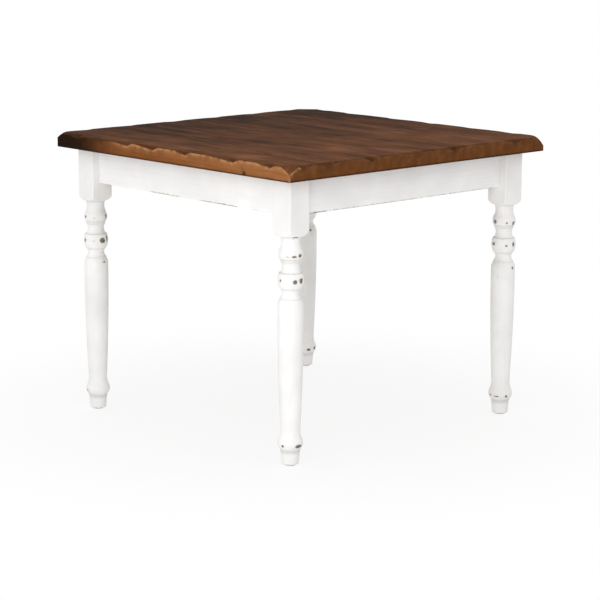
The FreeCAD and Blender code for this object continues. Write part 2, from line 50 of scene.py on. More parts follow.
LEG_CHAMFER = 0.014
LEG_CREASE = 50
UNDERSIDE = 0.745
APRON_BASE = 0.648
BLOCK_BASE = 0.595
FOOT_BASE = 0.003
BLOCK_ROUND = 0.0025
BLOCK_LEVELS = (UNDERSIDE, 0.72, 0.69, 0.66, APRON_BASE + 0.0003, APRON_BASE - 0.0003, 0.64, 0.63, 0.62)

# The rounded lower end of the block: radius and height of three points on it, and how it meets the flats.
POMMEL = ((0.027, BLOCK_BASE), (0.040, BLOCK_BASE + 0.006), (0.049, BLOCK_BASE + 0.019))
POMMEL_HEIGHT = 0.020
POMMEL_RINGS = 26
POMMEL_BLEND = 0.003

# Turnings from the block down: length, radius at the middle and radius at the end.
TURNINGS = (
    (0.030, 0.0243, 0.0280),
    (0.027, 0.0319, 0.0290),
    (0.000, None, 0.0266),
    (0.006, None, 0.0266),
    (0.029, 0.0223, 0.0280),
    (0.000, None, 0.0300),
    (0.041, 0.0338, 0.0276),
    (0.024, 0.0219, 0.0280),
    (0.003, None, 0.0280),
    (0.015, 0.0316, 0.0332),
    (0.070, None, 0.0332),
    (0.258, 0.0306, 0.0254),
    (0.027, 0.0277, 0.0324),
    (0.022, 0.0326, 0.0262),
    (0.004, None, 0.0262),
    (0.000, None, 0.0248),
    (0.032, None, 0.0222),
    (0.004, 0.0216, 0.0194),
)
TURNED_EASE = 0.0007
ARC_STEP = 0.004
STRAIGHT_STEP = 0.012
SHARP_TURNING = math.radians(155)

# Legs: side along X, side along Y and turn about Z from the front-left leg.
LEGS = {
    "front_left": (-1, -1, 0),
    "front_right": (1, -1, 90),
    "back_right": (1, 1, 180),
    "back_left": (-1, 1, 270),
}

# Chips seen on each leg: height, bearing in degrees, half width, half height and strength. The one at
# the foot of the front-right leg's block is painted shadow under its rounded lower end.
CHIPS_AND_SHADE = {
    "front_left": (
        (0.552, -98, 0.0045, 0.0042, 0.75),
        (0.552, 27, 0.0050, 0.0070, 0.70),
        (0.549, -46, 0.0040, 0.0022, 0.42),
        (0.486, -98, 0.0050, 0.0055, 0.75),
        (0.485, -50, 0.0050, 0.0024, 0.45),
        (0.486, -5, 0.0072, 0.0066, 1.15),
        (0.491, 26, 0.0050, 0.0080, 0.75),
        (0.424, 4, 0.0055, 0.0018, 0.85),
        (0.430, 6, 0.0040, 0.0020, 0.55),
        (0.055, -102, 0.0045, 0.0050, 0.55),
        (0.664, -86, 0.0020, 0.0060, 0.55),
    ),
    "front_right": (
        (0.547, -60, 0.0045, 0.0028, 0.55),
        (0.547, -26, 0.0070, 0.0032, 0.80),
        (0.549, 4, 0.0055, 0.0042, 0.95),
        (0.484, -94, 0.0045, 0.0060, 0.55),
        (0.483, -24, 0.0056, 0.0056, 0.90),
        (0.485, 8, 0.0052, 0.0066, 1.10),
        (0.055, -80, 0.0040, 0.0036, 0.8),
        (0.054, -1, 0.0085, 0.0042, 1.1),
        # Painted shadow under the rounded lower end of the block, drawn like a chip.
        (0.597, -23, 0.0075, 0.0022, 0.9),
    ),
    "back_right": (
        (0.549, -99, 0.0052, 0.0055, 1.0),
        (0.547, -34, 0.0042, 0.0036, 0.55),
        (0.545, 7, 0.0048, 0.0055, 0.9),
        (0.487, -102, 0.0052, 0.0046, 0.95),
        (0.484, -34, 0.0044, 0.0040, 0.60),
        (0.487, 5, 0.0042, 0.0068, 0.9),
        (0.420, 3, 0.0045, 0.0036, 0.65),
        (0.398, -73, 0.0030, 0.0090, 0.42),
        (0.0545, -17, 0.0045, 0.0036, 0.80),
        (0.055, -67, 0.0075, 0.0020, 0.80),
        (0.056, -103, 0.0060, 0.0036, 0.55),
    ),
    "back_left": (
        (0.427, -17, 0.0050, 0.0030, 0.75),
        (0.414, -8, 0.0028, 0.0060, 0.70),
        (0.484, -30, 0.0070, 0.0060, 1.0),
        (0.055, -25, 0.0060, 0.0035, 0.9),
        (0.058, 16, 0.0050, 0.0045, 0.85),
    ),
}

# Heights of the proud turnings, which chip on every side, and of the quirks that hold grime, each with
# its reach up and down. More chips fall by chance on the far sides, between two bearings in degrees.
PROUD = (0.549, 0.484, 0.424, 0.058)
PROUD_REACH = 0.006
PROUD_WEAR = 0.10
QUIRKS = (0.594, 0.538, 0.531, 0.503, 0.461, 0.436, 0.042, 0.039)
QUIRK_REACH = 0.0016
FAR_SIDES = (72, 222)


def linear(code):
    """Turn an sRGB hex colour into the linear one that the shaders work in."""
    shares = [int(code[start : start + 2], 16) / 255 for start in (0, 2, 4)]
    return tuple(c / 12.92 if c <= 0.04045 else ((c + 0.055) / 1.055) ** 2.4 for c in shares) + (1.0,)


def set_inputs(tree, node, inputs):
    """Link the inputs of a node that are given a socket, and set the others."""
    for key, given in inputs.items():
        if isinstance(given, bpy.types.NodeSocket):
            tree.links.new(given, node.inputs[key])
        else:
            node.inputs[key].default_value = given


def add_node(tree, kind, inputs=None, out=0, stops=(), **settings):
    """Add a node and return one of its outputs, or the whole node where out is None.

    A colour ramp takes its stops as positions and hex colours.
    """
    made = tree.nodes.new(kind)
    for key, setting in settings.items():
        setattr(made, key, setting)
    for number, (position, code) in enumerate(stops):
        elements = made.color_ramp.elements
        element = elements[number] if number < len(elements) else elements.new(1.0)
        element.position = position
        element.color = linear(code)
    set_inputs(tree, made, inputs or {})
    return made if out is None else made.outputs[out]


def new_finish(name):
    """Return a new material, its node tree, its main shader and the object's own coordinates in it."""
    finish = bpy.data.materials.new(name)
    finish.use_nodes = True
    tree = finish.node_tree
    return finish, tree, tree.nodes["Principled BSDF"], add_node(tree, "ShaderNodeTexCoord", out="Object")


def white_paint(name, along, thin_coat, full_coat):
    """Chalky white paint brushed over pine: matt, faintly ribbed by the grain along one axis.

    Where the wear_and_shade attribute is high the paint has gone and the grey-brown primed wood shows,
    with a thin tan rim; at the few marks that stand for a shadow the same grey-brown is painted shade.
    Grime stays in the quirks as a soft grey.
    """
    finish, tree, shader, place = new_finish(name)
    wear_and_shade = add_node(tree, "ShaderNodeAttribute", out="Fac", attribute_name="wear_and_shade")
    grime = add_node(tree, "ShaderNodeAttribute", out="Fac", attribute_name="grime")
    # Grain ribs 3 mm apart and 140 mm long, drawn coarser than real pine pores so that they show.
    ribs = [1 / 0.003] * 3
    ribs["xyz".index(along)] = 1 / 0.140
    stretched = add_node(tree, "ShaderNodeVectorMath", {0: place, 1: ribs}, operation="MULTIPLY")
    grain = add_node(tree, "ShaderNodeTexNoise", {"Vector": stretched, "Scale": 1.0, "Detail": 3.0})
    # Cloudy brushwork 90 mm across, and ragged flakes 5 mm across that break up the worn places.
    cloud = add_node(tree, "ShaderNodeTexNoise", {"Vector": place, "Scale": 1 / 0.090, "Detail": 2.0})
    flakes = add_node(tree, "ShaderNodeTexNoise", {"Vector": place, "Scale": 1 / 0.005, "Detail": 3.0})
    ragged = add_node(tree, "ShaderNodeMath", {0: flakes, 1: 0.9, 2: -0.45}, operation="MULTIPLY_ADD")
    wear_and_painted_light = add_node(tree, "ShaderNodeMath", {0: wear_and_shade, 1: ragged}, operation="ADD")
    # The bare colour is worn-through paint at the chips and painted shade where a mark stands for a
    # shadow.
    spread = {"Value": wear_and_painted_light, "From Min": 0.42, "From Max": 0.62}
    bare_and_shade = add_node(tree, "ShaderNodeMapRange", spread, interpolation_type="SMOOTHSTEP")
    spread = {"Value": wear_and_painted_light, "From Min": 0.18, "From Max": 0.50, "To Max": 0.55}
    thin = add_node(tree, "ShaderNodeMapRange", spread, interpolation_type="SMOOTHSTEP")
    coats = ((0.30, thin_coat), (0.70, full_coat))
    paint = add_node(tree, "ShaderNodeValToRGB", {"Fac": cloud}, stops=coats)
    spread = {"Value": grain, "From Min": 0.50, "From Max": 0.80, "To Max": 0.28}
    ribbed = add_node(tree, "ShaderNodeMapRange", spread)
    lodged = add_node(tree, "ShaderNodeMath", {0: grime, 1: 0.55}, operation="MULTIPLY")
    held = add_node(tree, "ShaderNodeMath", {0: lodged, 1: flakes}, operation="MULTIPLY")
    primed = ((0.35, "5C554D"), (0.65, "8B8379"))
    wood = add_node(tree, "ShaderNodeValToRGB", {"Fac": flakes}, stops=primed)
    layers = ((ribbed, linear("DAD7D3")), (held, linear("A9A299")), (thin, linear("D8CBB4")), (bare_and_shade, wood))
    colour = paint
    for share, over in layers:
        laid = {0: share, 6: colour, 7: over}
        colour = add_node(tree, "ShaderNodeMix", laid, out=2, data_type="RGBA")
    rough = add_node(tree, "ShaderNodeMapRange", {"Value": bare_and_shade, "To Min": 0.58, "To Max": 0.80})
    # The paint film is 0.3 mm thick at the chips, and the ribs stand 0.05 mm proud.
    level = add_node(tree, "ShaderNodeMath", {0: grain, 1: 0.16, 2: 1.0}, operation="MULTIPLY_ADD")
    film = add_node(tree, "ShaderNodeMath", {0: level, 1: bare_and_shade}, operation="SUBTRACT")
    bump = add_node(tree, "ShaderNodeBump", {"Strength": 0.6, "Distance": 0.0003, "Height": film})
    set_inputs(tree, shader, {"Base Color": colour, "Roughness": rough, "Normal": bump})
    set_inputs(tree, shader, {"IOR": 1.48, "Specular IOR Level": 0.35})
    return finish


def set_down(name, data):
    """Put a mesh, a lamp or a camera in the scene as an object."""
    thing = bpy.data.objects.new(name, data)
    bpy.context.collection.objects.link(thing)
    return thing


def shade(mesh, crease):
    """Shade a mesh smooth but for the creases above an angle in degrees."""
    mesh.shade_smooth()
    mesh.set_sharp_from_angle(angle=math.radians(crease))


def add_piece(name, vertices, faces, finish, crease):
    """Make a closed mesh piece with its faces pointing outwards."""
    mesh = bpy.data.meshes.new(name)
    mesh.from_pydata(vertices, [], faces)
    shell = bmesh.new()
    shell.from_mesh(mesh)
    bmesh.ops.recalc_face_normals(shell, faces=shell.faces)
    shell.to_mesh(mesh)
    shell.free()
    mesh.materials.append(finish)
    shade(mesh, crease)
    return set_down(name, mesh)


def mark(piece, name, values, kind="value"):
    """Store a value, or the three shares of a vector, for each vertex of a piece."""
    held = piece.data.attributes.new(name, "FLOAT_VECTOR" if kind == "vector" else "FLOAT", "POINT")
    held.data.foreach_set(kind, values)


def skin(row_count, count):
    """Return the faces between neighbouring rows of so many points, each row a closed ring."""
    faces = []
    for row in range(row_count - 1):
        near = row * count
        far = near + count
        for here in range(count):
            after = (here + 1) % count
            faces.append((near + here, near + after, far + after, far + here))
    return faces


def circle_through(first, middle, last):
    """Return the centre and radius of the circle through three points."""
    ax, ay = middle[0] - first[0], middle[1] - first[1]
    bx, by = last[0] - first[0], last[1] - first[1]
    double = 2 * (ax * by - ay * bx)
    a2 = ax * ax + ay * ay
    b2 = bx * bx + by * by
    x = (by * a2 - ay * b2) / double
    y = (ax * b2 - bx * a2) / double
    return (first[0] + x, first[1] + y), math.hypot(x, y)


def arc_points(first, middle, last, count):
    """Return points along the arc through three points, without its first one."""
    (x, y), radius = circle_through(first, middle, last)
    start = math.atan2(first[1] - y, first[0] - x)
    end = math.atan2(last[1] - y, last[0] - x)
    sweep = (end - start + math.pi) % math.tau - math.pi
    turns = [start + sweep * step / count for step in range(1, count + 1)]
    return [(x + radius * math.cos(turn), y + radius * math.sin(turn)) for turn in turns]


def turned_outline():
    """Return radius and height down the turned part of a leg, with its sharp corners softened."""
    outline = [POMMEL[0]]
    for length, belly, radius in TURNINGS:
        before = outline[-1]
        if belly:
            middle = (belly, before[1] - 0.5 * length)
            outline += arc_points(before, middle, (radius, before[1] - length), 8 + int(length / ARC_STEP))
            continue
        steps = 1 + int(length / STRAIGHT_STEP)
        for share in [step / steps for step in range(1, steps + 1)]:
            outline.append((before[0] + share * (radius - before[0]), before[1] - share * length))
    soft = [outline[0]]
    for before, here, after in zip(outline, outline[1:], outline[2:]):
        towards = Vector(before) - Vector(here)
        onwards = Vector(after) - Vector(here)
        if towards.angle(onwards) > SHARP_TURNING:
            soft.append(here)
            continue
        ease = min(TURNED_EASE, 0.4 * towards.length, 0.4 * onwards.length)
        soft.append(tuple(Vector(here) + towards.normalized() * ease))
        soft.append(tuple(Vector(here) + onwards.normalized() * ease))
    return soft + [outline[-1]]


def block_radius(angle, chamfered):
    """Return how far a leg's block reaches at an angle, with rounded arrises and its inner chamfer."""
    half = 0.5 * LEG_BLOCK
    fold = abs((angle + math.pi / 4) % (math.pi / 2) - math.pi / 4)
    inner = half - BLOCK_ROUND
    reach = half / math.cos(fold)
    if math.tan(fold) > inner / half:
        along = inner * (math.cos(fold) + math.sin(fold))
        aside = inner * (math.cos(fold) - math.sin(fold))
        reach = along + math.sqrt(BLOCK_ROUND**2 - aside**2)
    slope = math.cos(angle) + math.sin(angle)
    if chamfered and slope > 1e-6:
        reach = min(reach, (LEG_BLOCK - LEG_CHAMFER) / slope)
    return reach


def blend_min(first, second, width):
    """Return the lesser of two numbers, eased where they cross."""
    near = max(width - abs(first - second), 0) / width
    return min(first, second) - 0.25 * near * near * width


def peak(gap, reach):
    """Return a smooth peak that is 1 at a gap of nothing and dies away past its reach."""
    return math.exp(-((gap / reach) ** 2))


# Bearings of the points round a leg, closest at the arrises of its block.
chamfer_edge = math.degrees(math.atan2(0.5 * LEG_BLOCK - LEG_CHAMFER, 0.5 * LEG_BLOCK))
octant = [0, 4, 8, 12, 16, 20, 24, 27, chamfer_edge, 33, 36.5, 39.5, 41.6, 43, 44.1]
quarter = octant + [45] + [90 - angle for angle in reversed(octant[1:])]
bearings = [math.radians(angle + 90 * side) for side in range(4) for angle in quarter]

(pommel_axis, pommel_height), pommel_round = circle_through(*POMMEL)
rings = []
for height in BLOCK_LEVELS:
    rings.append([(block_radius(angle, height > APRON_BASE), height) for angle in bearings])
for step in range(1, POMMEL_RINGS + 1):
    height = BLOCK_BASE + POMMEL_HEIGHT * (1 - step / POMMEL_RINGS) ** 1.3
    turned = pommel_axis + math.sqrt(pommel_round**2 - (height - pommel_height) ** 2)
    reaches = [blend_min(block_radius(angle, False), turned, POMMEL_BLEND) for angle in bearings]
    rings.append([(reach, height) for reach in reaches])
for radius, height in turned_outline()[1:]:
    rings.append([(radius, height)] * len(bearings))

leg_paint = white_paint("chalk_paint_on_turned_pine", "z", "E9E8E6", "F3F2F1")
chance = random.Random(11)
for corner, (side_x, side_y, turn) in LEGS.items():
    chips_and_shade = list(CHIPS_AND_SHADE[corner])
    for height in PROUD:
        for _ in range(chance.choice((2, 3, 4))):
            bearing = chance.uniform(*FAR_SIDES)
            level = height + chance.uniform(-0.005, 0.005)
            half_width = chance.uniform(0.0035, 0.0090)
            half_height = half_width * chance.uniform(0.4, 0.9)
            chips_and_shade.append((level, bearing, half_width, half_height, chance.uniform(0.45, 1.1)))
    vertices = []
    wear_and_shade = []
    grime = []
    for ring in rings:
        for angle, (radius, height) in zip(bearings, ring):
            bearing = angle + math.radians(turn)
            x = side_x * LEG_CENTRE + radius * math.cos(bearing)
            y = side_y * LEG_CENTRE + radius * math.sin(bearing)
            vertices.append((x, y, height))
            rubbed_and_shaded = 0.0
            for level, aim, half_width, half_height, strength in chips_and_shade:
                aside = (bearing - math.radians(aim) + math.pi) % math.tau - math.pi
                spread = (aside * radius / half_width) ** 2 + ((height - level) / half_height) ** 2
                rubbed_and_shaded = max(rubbed_and_shaded, strength * math.exp(-0.7 * spread))
            wear_and_shade.append(rubbed_and_shaded + PROUD_WEAR * max(peak(height - level, PROUD_REACH) for level in PROUD))
            grime.append(max(peak(height - level, QUIRK_REACH) for level in QUIRKS))
    count = len(bearings)
    faces = skin(len(rings), count)
    for row, height in ((0, UNDERSIDE), (len(rings) - 1, FOOT_BASE)):
        hub = len(vertices)
        vertices.append((side_x * LEG_CENTRE, side_y * LEG_CENTRE, height))
        wear_and_shade.append(0.0)
        grime.append(0.0)
        faces += [(hub, row * count + here, row * count + (here + 1) % count) for here in range(count)]
    leg = add_piece(f"turned_leg_{corner}", vertices, faces, leg_paint, LEG_CREASE)
    mark(leg, "wear_and_shade", wear_and_shade)
    mark(leg, "grime", grime)
    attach(leg, "root")
    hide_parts(f"leg_{corner}")

# Aprons: planed pine boards on edge between the leg blocks, painted like the legs but in a paler white,
# painted light that makes up for the shade under the overhang of the top.
# They are dowelled into the legs, and a saw groove inside takes the clips of the top.
APRON_FACE = 0.413
APRON_THICK = 0.022
APRON_HALF = 0.369
APRON_EASE = 0.0015
APRON_STEPS = 184
APRON_CREASE = 38
GROOVE = (UNDERSIDE - 0.014, UNDERSIDE - 0.010, 0.009)

# Sides of the table with their turn about Z from the front.
SIDES = {"front": 0, "right": 90, "back": 180, "left": 270}

# Runs along the lower arris, partly rubbed through and partly a painted shadow line under the edge: start,
# end and strength, in metres along the apron. Below them are how they fade out, how far they reach and how
# uneven they are, and how far grime spreads from a joint.
RUBBED_AND_SHADED = {
    "front": ((-0.150, -0.020, 0.75), (0.060, 0.210, 0.85), (0.255, 0.290, 0.5)),
    "right": ((-0.350, -0.285, 0.95), (-0.280, 0.050, 0.68), (0.040, 0.345, 0.60)),
    "back": ((-0.280, -0.120, 0.8), (0.040, 0.110, 0.6), (0.210, 0.330, 0.75)),
    "left": ((-0.310, -0.190, 0.7), (-0.060, 0.130, 0.8), (0.220, 0.280, 0.6)),
}
RUN_FADE = 0.030
ARRIS_LINE_REACH = 0.0022
ARRIS_LINE_DEPTH = 0.004
UNEVEN = 0.25
UNEVEN_RATE = 60
JOINT_GRIME = 0.0025
GRIME_DEPTH = 0.001

# Outline of an apron from the top of its face, as distance in from the face and height.
eased = []
for angle in [math.radians(step * 22.5) for step in range(5)]:
    across = APRON_EASE * (1 - math.cos(angle))
    eased.append((across, APRON_BASE + APRON_EASE * (1 - math.sin(angle))))
apron_outline = [(0.0, UNDERSIDE - drop) for drop in (0, 0.004, 0.012, 0.03, 0.05, 0.07, 0.085, 0.091)]
apron_outline += eased + [(APRON_THICK - across, height) for across, height in reversed(eased)]
apron_outline += [(APRON_THICK, height) for height in (0.66, 0.69, 0.715, GROOVE[0])]
apron_outline += [(APRON_THICK - GROOVE[2], height) for height in GROOVE[:2]]
apron_outline += [(APRON_THICK, GROOVE[1]), (APRON_THICK, UNDERSIDE)]

# The aprons' whites are written paler than the legs': painted light against the shade under the top.
lightened_apron_paints = {
    0: white_paint("chalk_paint_lightened_on_long_apron", "x", "F1F0EF", "F9F9F8"),
    90: white_paint("chalk_paint_lightened_on_side_apron", "y", "F1F0EF", "F9F9F8"),
}
stations = [-APRON_HALF + 2 * APRON_HALF * step / APRON_STEPS for step in range(APRON_STEPS + 1)]
for side, turn in SIDES.items():
    cos, sin = math.cos(math.radians(turn)), math.sin(math.radians(turn))
    vertices = []
    wear_and_shade = []
    grime = []
    for station in stations:
        rubbed_and_shaded = 0.0
        for start, end, strength in RUBBED_AND_SHADED[side]:
            inside = min(station - start, end - station)
            rubbed_and_shaded = max(rubbed_and_shaded, strength * max(0.0, min(1.0, 0.5 + inside / RUN_FADE)))
        rubbed_and_shaded += UNEVEN * noise.noise(Vector((UNEVEN_RATE * station, turn, 0.0)))
        for across, height in apron_outline:
            y = across - APRON_FACE
            vertices.append((station * cos - y * sin, station * sin + y * cos, height))
            # Rubbed wear and painted shadow line on the face, at the lower arris.
            wear_and_shade.append(rubbed_and_shaded * peak(height - APRON_BASE, ARRIS_LINE_REACH) if across < ARRIS_LINE_DEPTH else 0.0)
            lodged = 0.6 * peak(APRON_HALF - abs(station), JOINT_GRIME)
            grime.append(lodged if across < GRIME_DEPTH else 0.0)
    count = len(apron_outline)
    faces = skin(len(stations), count)
    faces += [tuple(range(count)), tuple(range(len(vertices) - count, len(vertices)))]
    apron = add_piece(f"apron_board_{side}", vertices, faces, lightened_apron_paints[turn % 180], APRON_CREASE)
    mark(apron, "wear_and_shade", wear_and_shade)
    mark(apron, "grime", grime)
    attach(apron, "root")
    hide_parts(f"apron_{side}")

# Apron dowels: plain beech pins with eased ends, glued in the ends of the aprons and in the legs.
# They are hidden in the joints, and keep their solids from the frame.
beech, tree, shader, place = new_finish("beech_dowel_rod")
# Beech flecks about 2 mm across, pale and darker straw.
fleck = add_node(tree, "ShaderNodeTexNoise", {"Vector": place, "Scale": 1 / 0.002, "Detail": 2.0})
straw = add_node(tree, "ShaderNodeValToRGB", {"Fac": fleck}, stops=((0.3, "C49A6C"), (0.7, "DDBB92")))
set_inputs(tree, shader, {"Base Color": straw, "Roughness": 0.65})


def refinish(node, finish):
    """Give a node that keeps its solid another finish."""
    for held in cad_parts[node].material_slots:
        held.material = finish


refinish("apron_dowels", beech)

# Corner blocks and battens: planed pine left bare, since they sit out of sight under the top.
# The blocks are screwed to the aprons and the battens to the boards, which they keep flat.
GROWTH_LINES = {"wave_type": "BANDS", "bands_direction": "DIAGONAL", "wave_profile": "SAW"}

# Scale at which a wave texture draws its lines one metre apart.
METRE_WAVES = math.tau / 20


def bare_pine(name, heading):
    """Planed bare pine with its grain along a heading in degrees: pale straw with honey-brown lines."""
    finish, tree, shader, place = new_finish(name)
    rotation = (0.0, 0.0, -math.radians(heading))
    turned = add_node(tree, "ShaderNodeMapping", {"Vector": place, "Rotation": rotation})
    # Growth lines 4 mm apart that wander over 200 mm, and fibres 0.8 mm wide and 30 mm long.
    slow = {0: turned, 1: (1 / 0.200, 1 / 0.030, 1 / 0.030)}
    drawn = add_node(tree, "ShaderNodeVectorMath", slow, operation="MULTIPLY")
    swayed = {"Vector": drawn, "Scale": 1.0, "Detail": 1.0}
    wander = add_node(tree, "ShaderNodeTexNoise", swayed, out="Color")
    drift = {0: wander, 1: (0.0, 0.014, 0.014), 2: turned}
    bent = add_node(tree, "ShaderNodeVectorMath", drift, operation="MULTIPLY_ADD")
    lines = {"Vector": bent, "Scale": METRE_WAVES / 0.004, "Distortion": 0.6, "Detail": 1.0}
    growth = add_node(tree, "ShaderNodeTexWave", lines, out="Fac", **GROWTH_LINES)
    thread = {0: turned, 1: (1 / 0.030, 1 / 0.0008, 1 / 0.0008)}
    combed = add_node(tree, "ShaderNodeVectorMath", thread, operation="MULTIPLY")
    fibre = add_node(tree, "ShaderNodeTexNoise", {"Vector": combed, "Scale": 1.0, "Detail": 2.0})
    mixed = add_node(tree, "ShaderNodeMath", {0: fibre, 1: 0.5, 2: growth}, operation="MULTIPLY_ADD")
    honey = ((0.20, "DCBE8E"), (0.85, "CFA974"), (1.0, "A87B48"))
    colour = add_node(tree, "ShaderNodeValToRGB", {"Fac": mixed}, stops=honey)
    bump = add_node(tree, "ShaderNodeBump", {"Strength": 0.5, "Distance": 0.0002, "Height": fibre})
    set_inputs(tree, shader, {"Base Color": colour, "Normal": bump})
    set_inputs(tree, shader, {"Roughness": 0.62, "Specular IOR Level": 0.3})
    return finish


block_pines = (bare_pine("planed_pine_rising", -45), bare_pine("planed_pine_falling", 45))
for number, corner in enumerate(LEGS):
    refinish(f"corner_block_{corner}", block_pines[number % 2])
batten_pine = bare_pine("planed_pine_across", 90)
for batten in ("batten_left", "batten_right"):
    refinish(batten, batten_pine)

# Hanger bolts, washers, nuts, screws and clips: bright zinc-plated steel.
# Two bolts draw each leg against its corner block, and the clips hold the top to the aprons.
zinc, tree, shader, place = new_finish("zinc_plated_steel")
# Plating spangle 1.5 mm across, with a faint blue and straw cast.
spangle = add_node(tree, "ShaderNodeTexNoise", {"Vector": place, "Scale": 1 / 0.0015, "Detail": 2.0})
casts = ((0.35, "AEB3B8"), (0.55, "C3C6C8"), (0.75, "CFCBBF"))
cast = add_node(tree, "ShaderNodeValToRGB", {"Fac": spangle}, stops=casts)
dull = add_node(tree, "ShaderNodeMapRange", {"Value": spangle, "To Min": 0.28, "To Max": 0.45})
set_inputs(tree, shader, {"Base Color": cast, "Roughness": dull, "Metallic": 1.0})

# One tree sets out every fastener: a pattern on each point, stood off along the point's aim, turned
# about it, and turned a little more at random, as hand-driven fasteners end up.
set_out = bpy.data.node_groups.new("set_out_fasteners", "GeometryNodeTree")
set_out_inputs = {}
for label, kind in (
    ("Places", "Geometry"),
    ("Pattern", "Object"),
    ("Stand off", "Float"),
    ("Wobble", "Float"),
    ("Seed", "Int"),
    ("Finish", "Material"),
):
    socket = set_out.interface.new_socket(label, in_out="INPUT", socket_type=f"NodeSocket{kind}")
    set_out_inputs[label] = socket.identifier
set_out.interface.new_socket("Fasteners", in_out="OUTPUT", socket_type="NodeSocketGeometry")
given = add_node(set_out, "NodeGroupInput", out=None).outputs
named = "GeometryNodeInputNamedAttribute"
aim = add_node(set_out, named, {"Name": "aim"}, out="Attribute", data_type="FLOAT_VECTOR")
own_turn = add_node(set_out, named, {"Name": "turn"}, out="Attribute", data_type="FLOAT")
pattern = add_node(set_out, "GeometryNodeObjectInfo", {"Object": given["Pattern"]}, out="Geometry")
least = add_node(set_out, "ShaderNodeMath", {0: given["Wobble"], 1: -1.0}, operation="MULTIPLY")
limits = {2: least, 3: given["Wobble"], "Seed": given["Seed"]}
stray = add_node(set_out, "FunctionNodeRandomValue", limits, out=1, data_type="FLOAT")
total = add_node(set_out, "ShaderNodeMath", {0: own_turn, 1: stray}, operation="ADD")
aimed = add_node(set_out, "FunctionNodeAlignRotationToVector", {"Vector": aim}, axis="Z")
spun = add_node(set_out, "FunctionNodeAxisAngleToRotation", {"Axis": (0.0, 0.0, 1.0), "Angle": total})
facing = add_node(set_out, "FunctionNodeRotateRotation", {0: aimed, 1: spun}, rotation_space="LOCAL")
lift = add_node(set_out, "ShaderNodeVectorMath", {0: aim, "Scale": given["Stand off"]}, operation="SCALE")
seats = add_node(set_out, "GeometryNodeSetPosition", {"Geometry": given["Places"], "Offset": lift})
copying = {"Points": seats, "Instance": pattern, "Rotation": facing}
copies = add_node(set_out, "GeometryNodeInstanceOnPoints", copying)
whole = add_node(set_out, "GeometryNodeRealizeInstances", {"Geometry": copies})
plated = add_node(set_out, "GeometryNodeSetMaterial", {"Geometry": whole, "Material": given["Finish"]})
add_node(set_out, "NodeGroupOutput", {"Fasteners": plated}, out=None)

FASTENER_CREASE = 35


def lathe(outline, sides, hollow=False):
    """Return the shell of an outline of reaches and heights turned about Z, capped unless it is hollow.

    A reach is a radius, or a function of the angle where the shape isn't round.
    """
    shell = bmesh.new()
    angles = [math.tau * step / sides for step in range(sides)]
    rows = []
    for reach, height in outline:
        row = []
        for angle in angles:
            radius = reach(angle) if callable(reach) else reach
            row.append(shell.verts.new((radius * math.cos(angle), radius * math.sin(angle), height)))
        rows.append(row)
    for lower, upper in zip(rows, rows[1:] + rows[:1] if hollow else rows[1:]):
        for here in range(sides):
            after = (here + 1) % sides
            shell.faces.new((lower[here], lower[after], upper[after], upper[here]))
    if not hollow:
        shell.faces.new(rows[0])
        shell.faces.new(rows[-1])
    bmesh.ops.recalc_face_normals(shell, faces=shell.faces)
    return shell


def fasten(name, node, shell, places, wobble, seed, stand_off=0.0):
    """Set a shell out at places of point, aim and turn, as one mesh piece for a node of the frame."""
    shape = bpy.data.meshes.new(f"{name}_pattern")
    shell.to_mesh(shape)
    shell.free()
    shade(shape, FASTENER_CREASE)
    one = set_down(f"{name}_pattern", shape)
    points, aims, turns = zip(*places)
    mesh = bpy.data.meshes.new(name)
    mesh.from_pydata(points, [], [])
    all_points = set_down(f"{name}_places", mesh)
    mark(all_points, "turn", turns)
    mark(all_points, "aim", [share for aim_along in aims for share in aim_along], "vector")
    layout = all_points.modifiers.new("set_out", "NODES")
    layout.node_group = set_out
    sizes = {"Stand off": stand_off, "Wobble": wobble, "Seed": seed}
    for label, value in {"Pattern": one, "Finish": zinc, **sizes}.items():
        layout[set_out_inputs[label]] = value
    evaluated = all_points.evaluated_get(bpy.context.evaluated_depsgraph_get())
    made = bpy.data.meshes.new_from_object(evaluated)
    made.name = name
    bpy.data.objects.remove(all_points)
    bpy.data.objects.remove(one)
    piece = set_down(name, made)
    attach(piece, "root")
    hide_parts(node)


SCREW_HEAD = (0.0045, 0.003)
SCREW_NECK = 0.004
SCREW_PITCH = 0.0016
SCREW_CORE = 0.74
SCREW_SIDES = 24
SCREW_WOBBLE = 3.0
RECESS_ARM = 0.0026
RECESS_WEB = 0.00055
RECESS_DEPTH = Vector((0, 0, 0.0016))


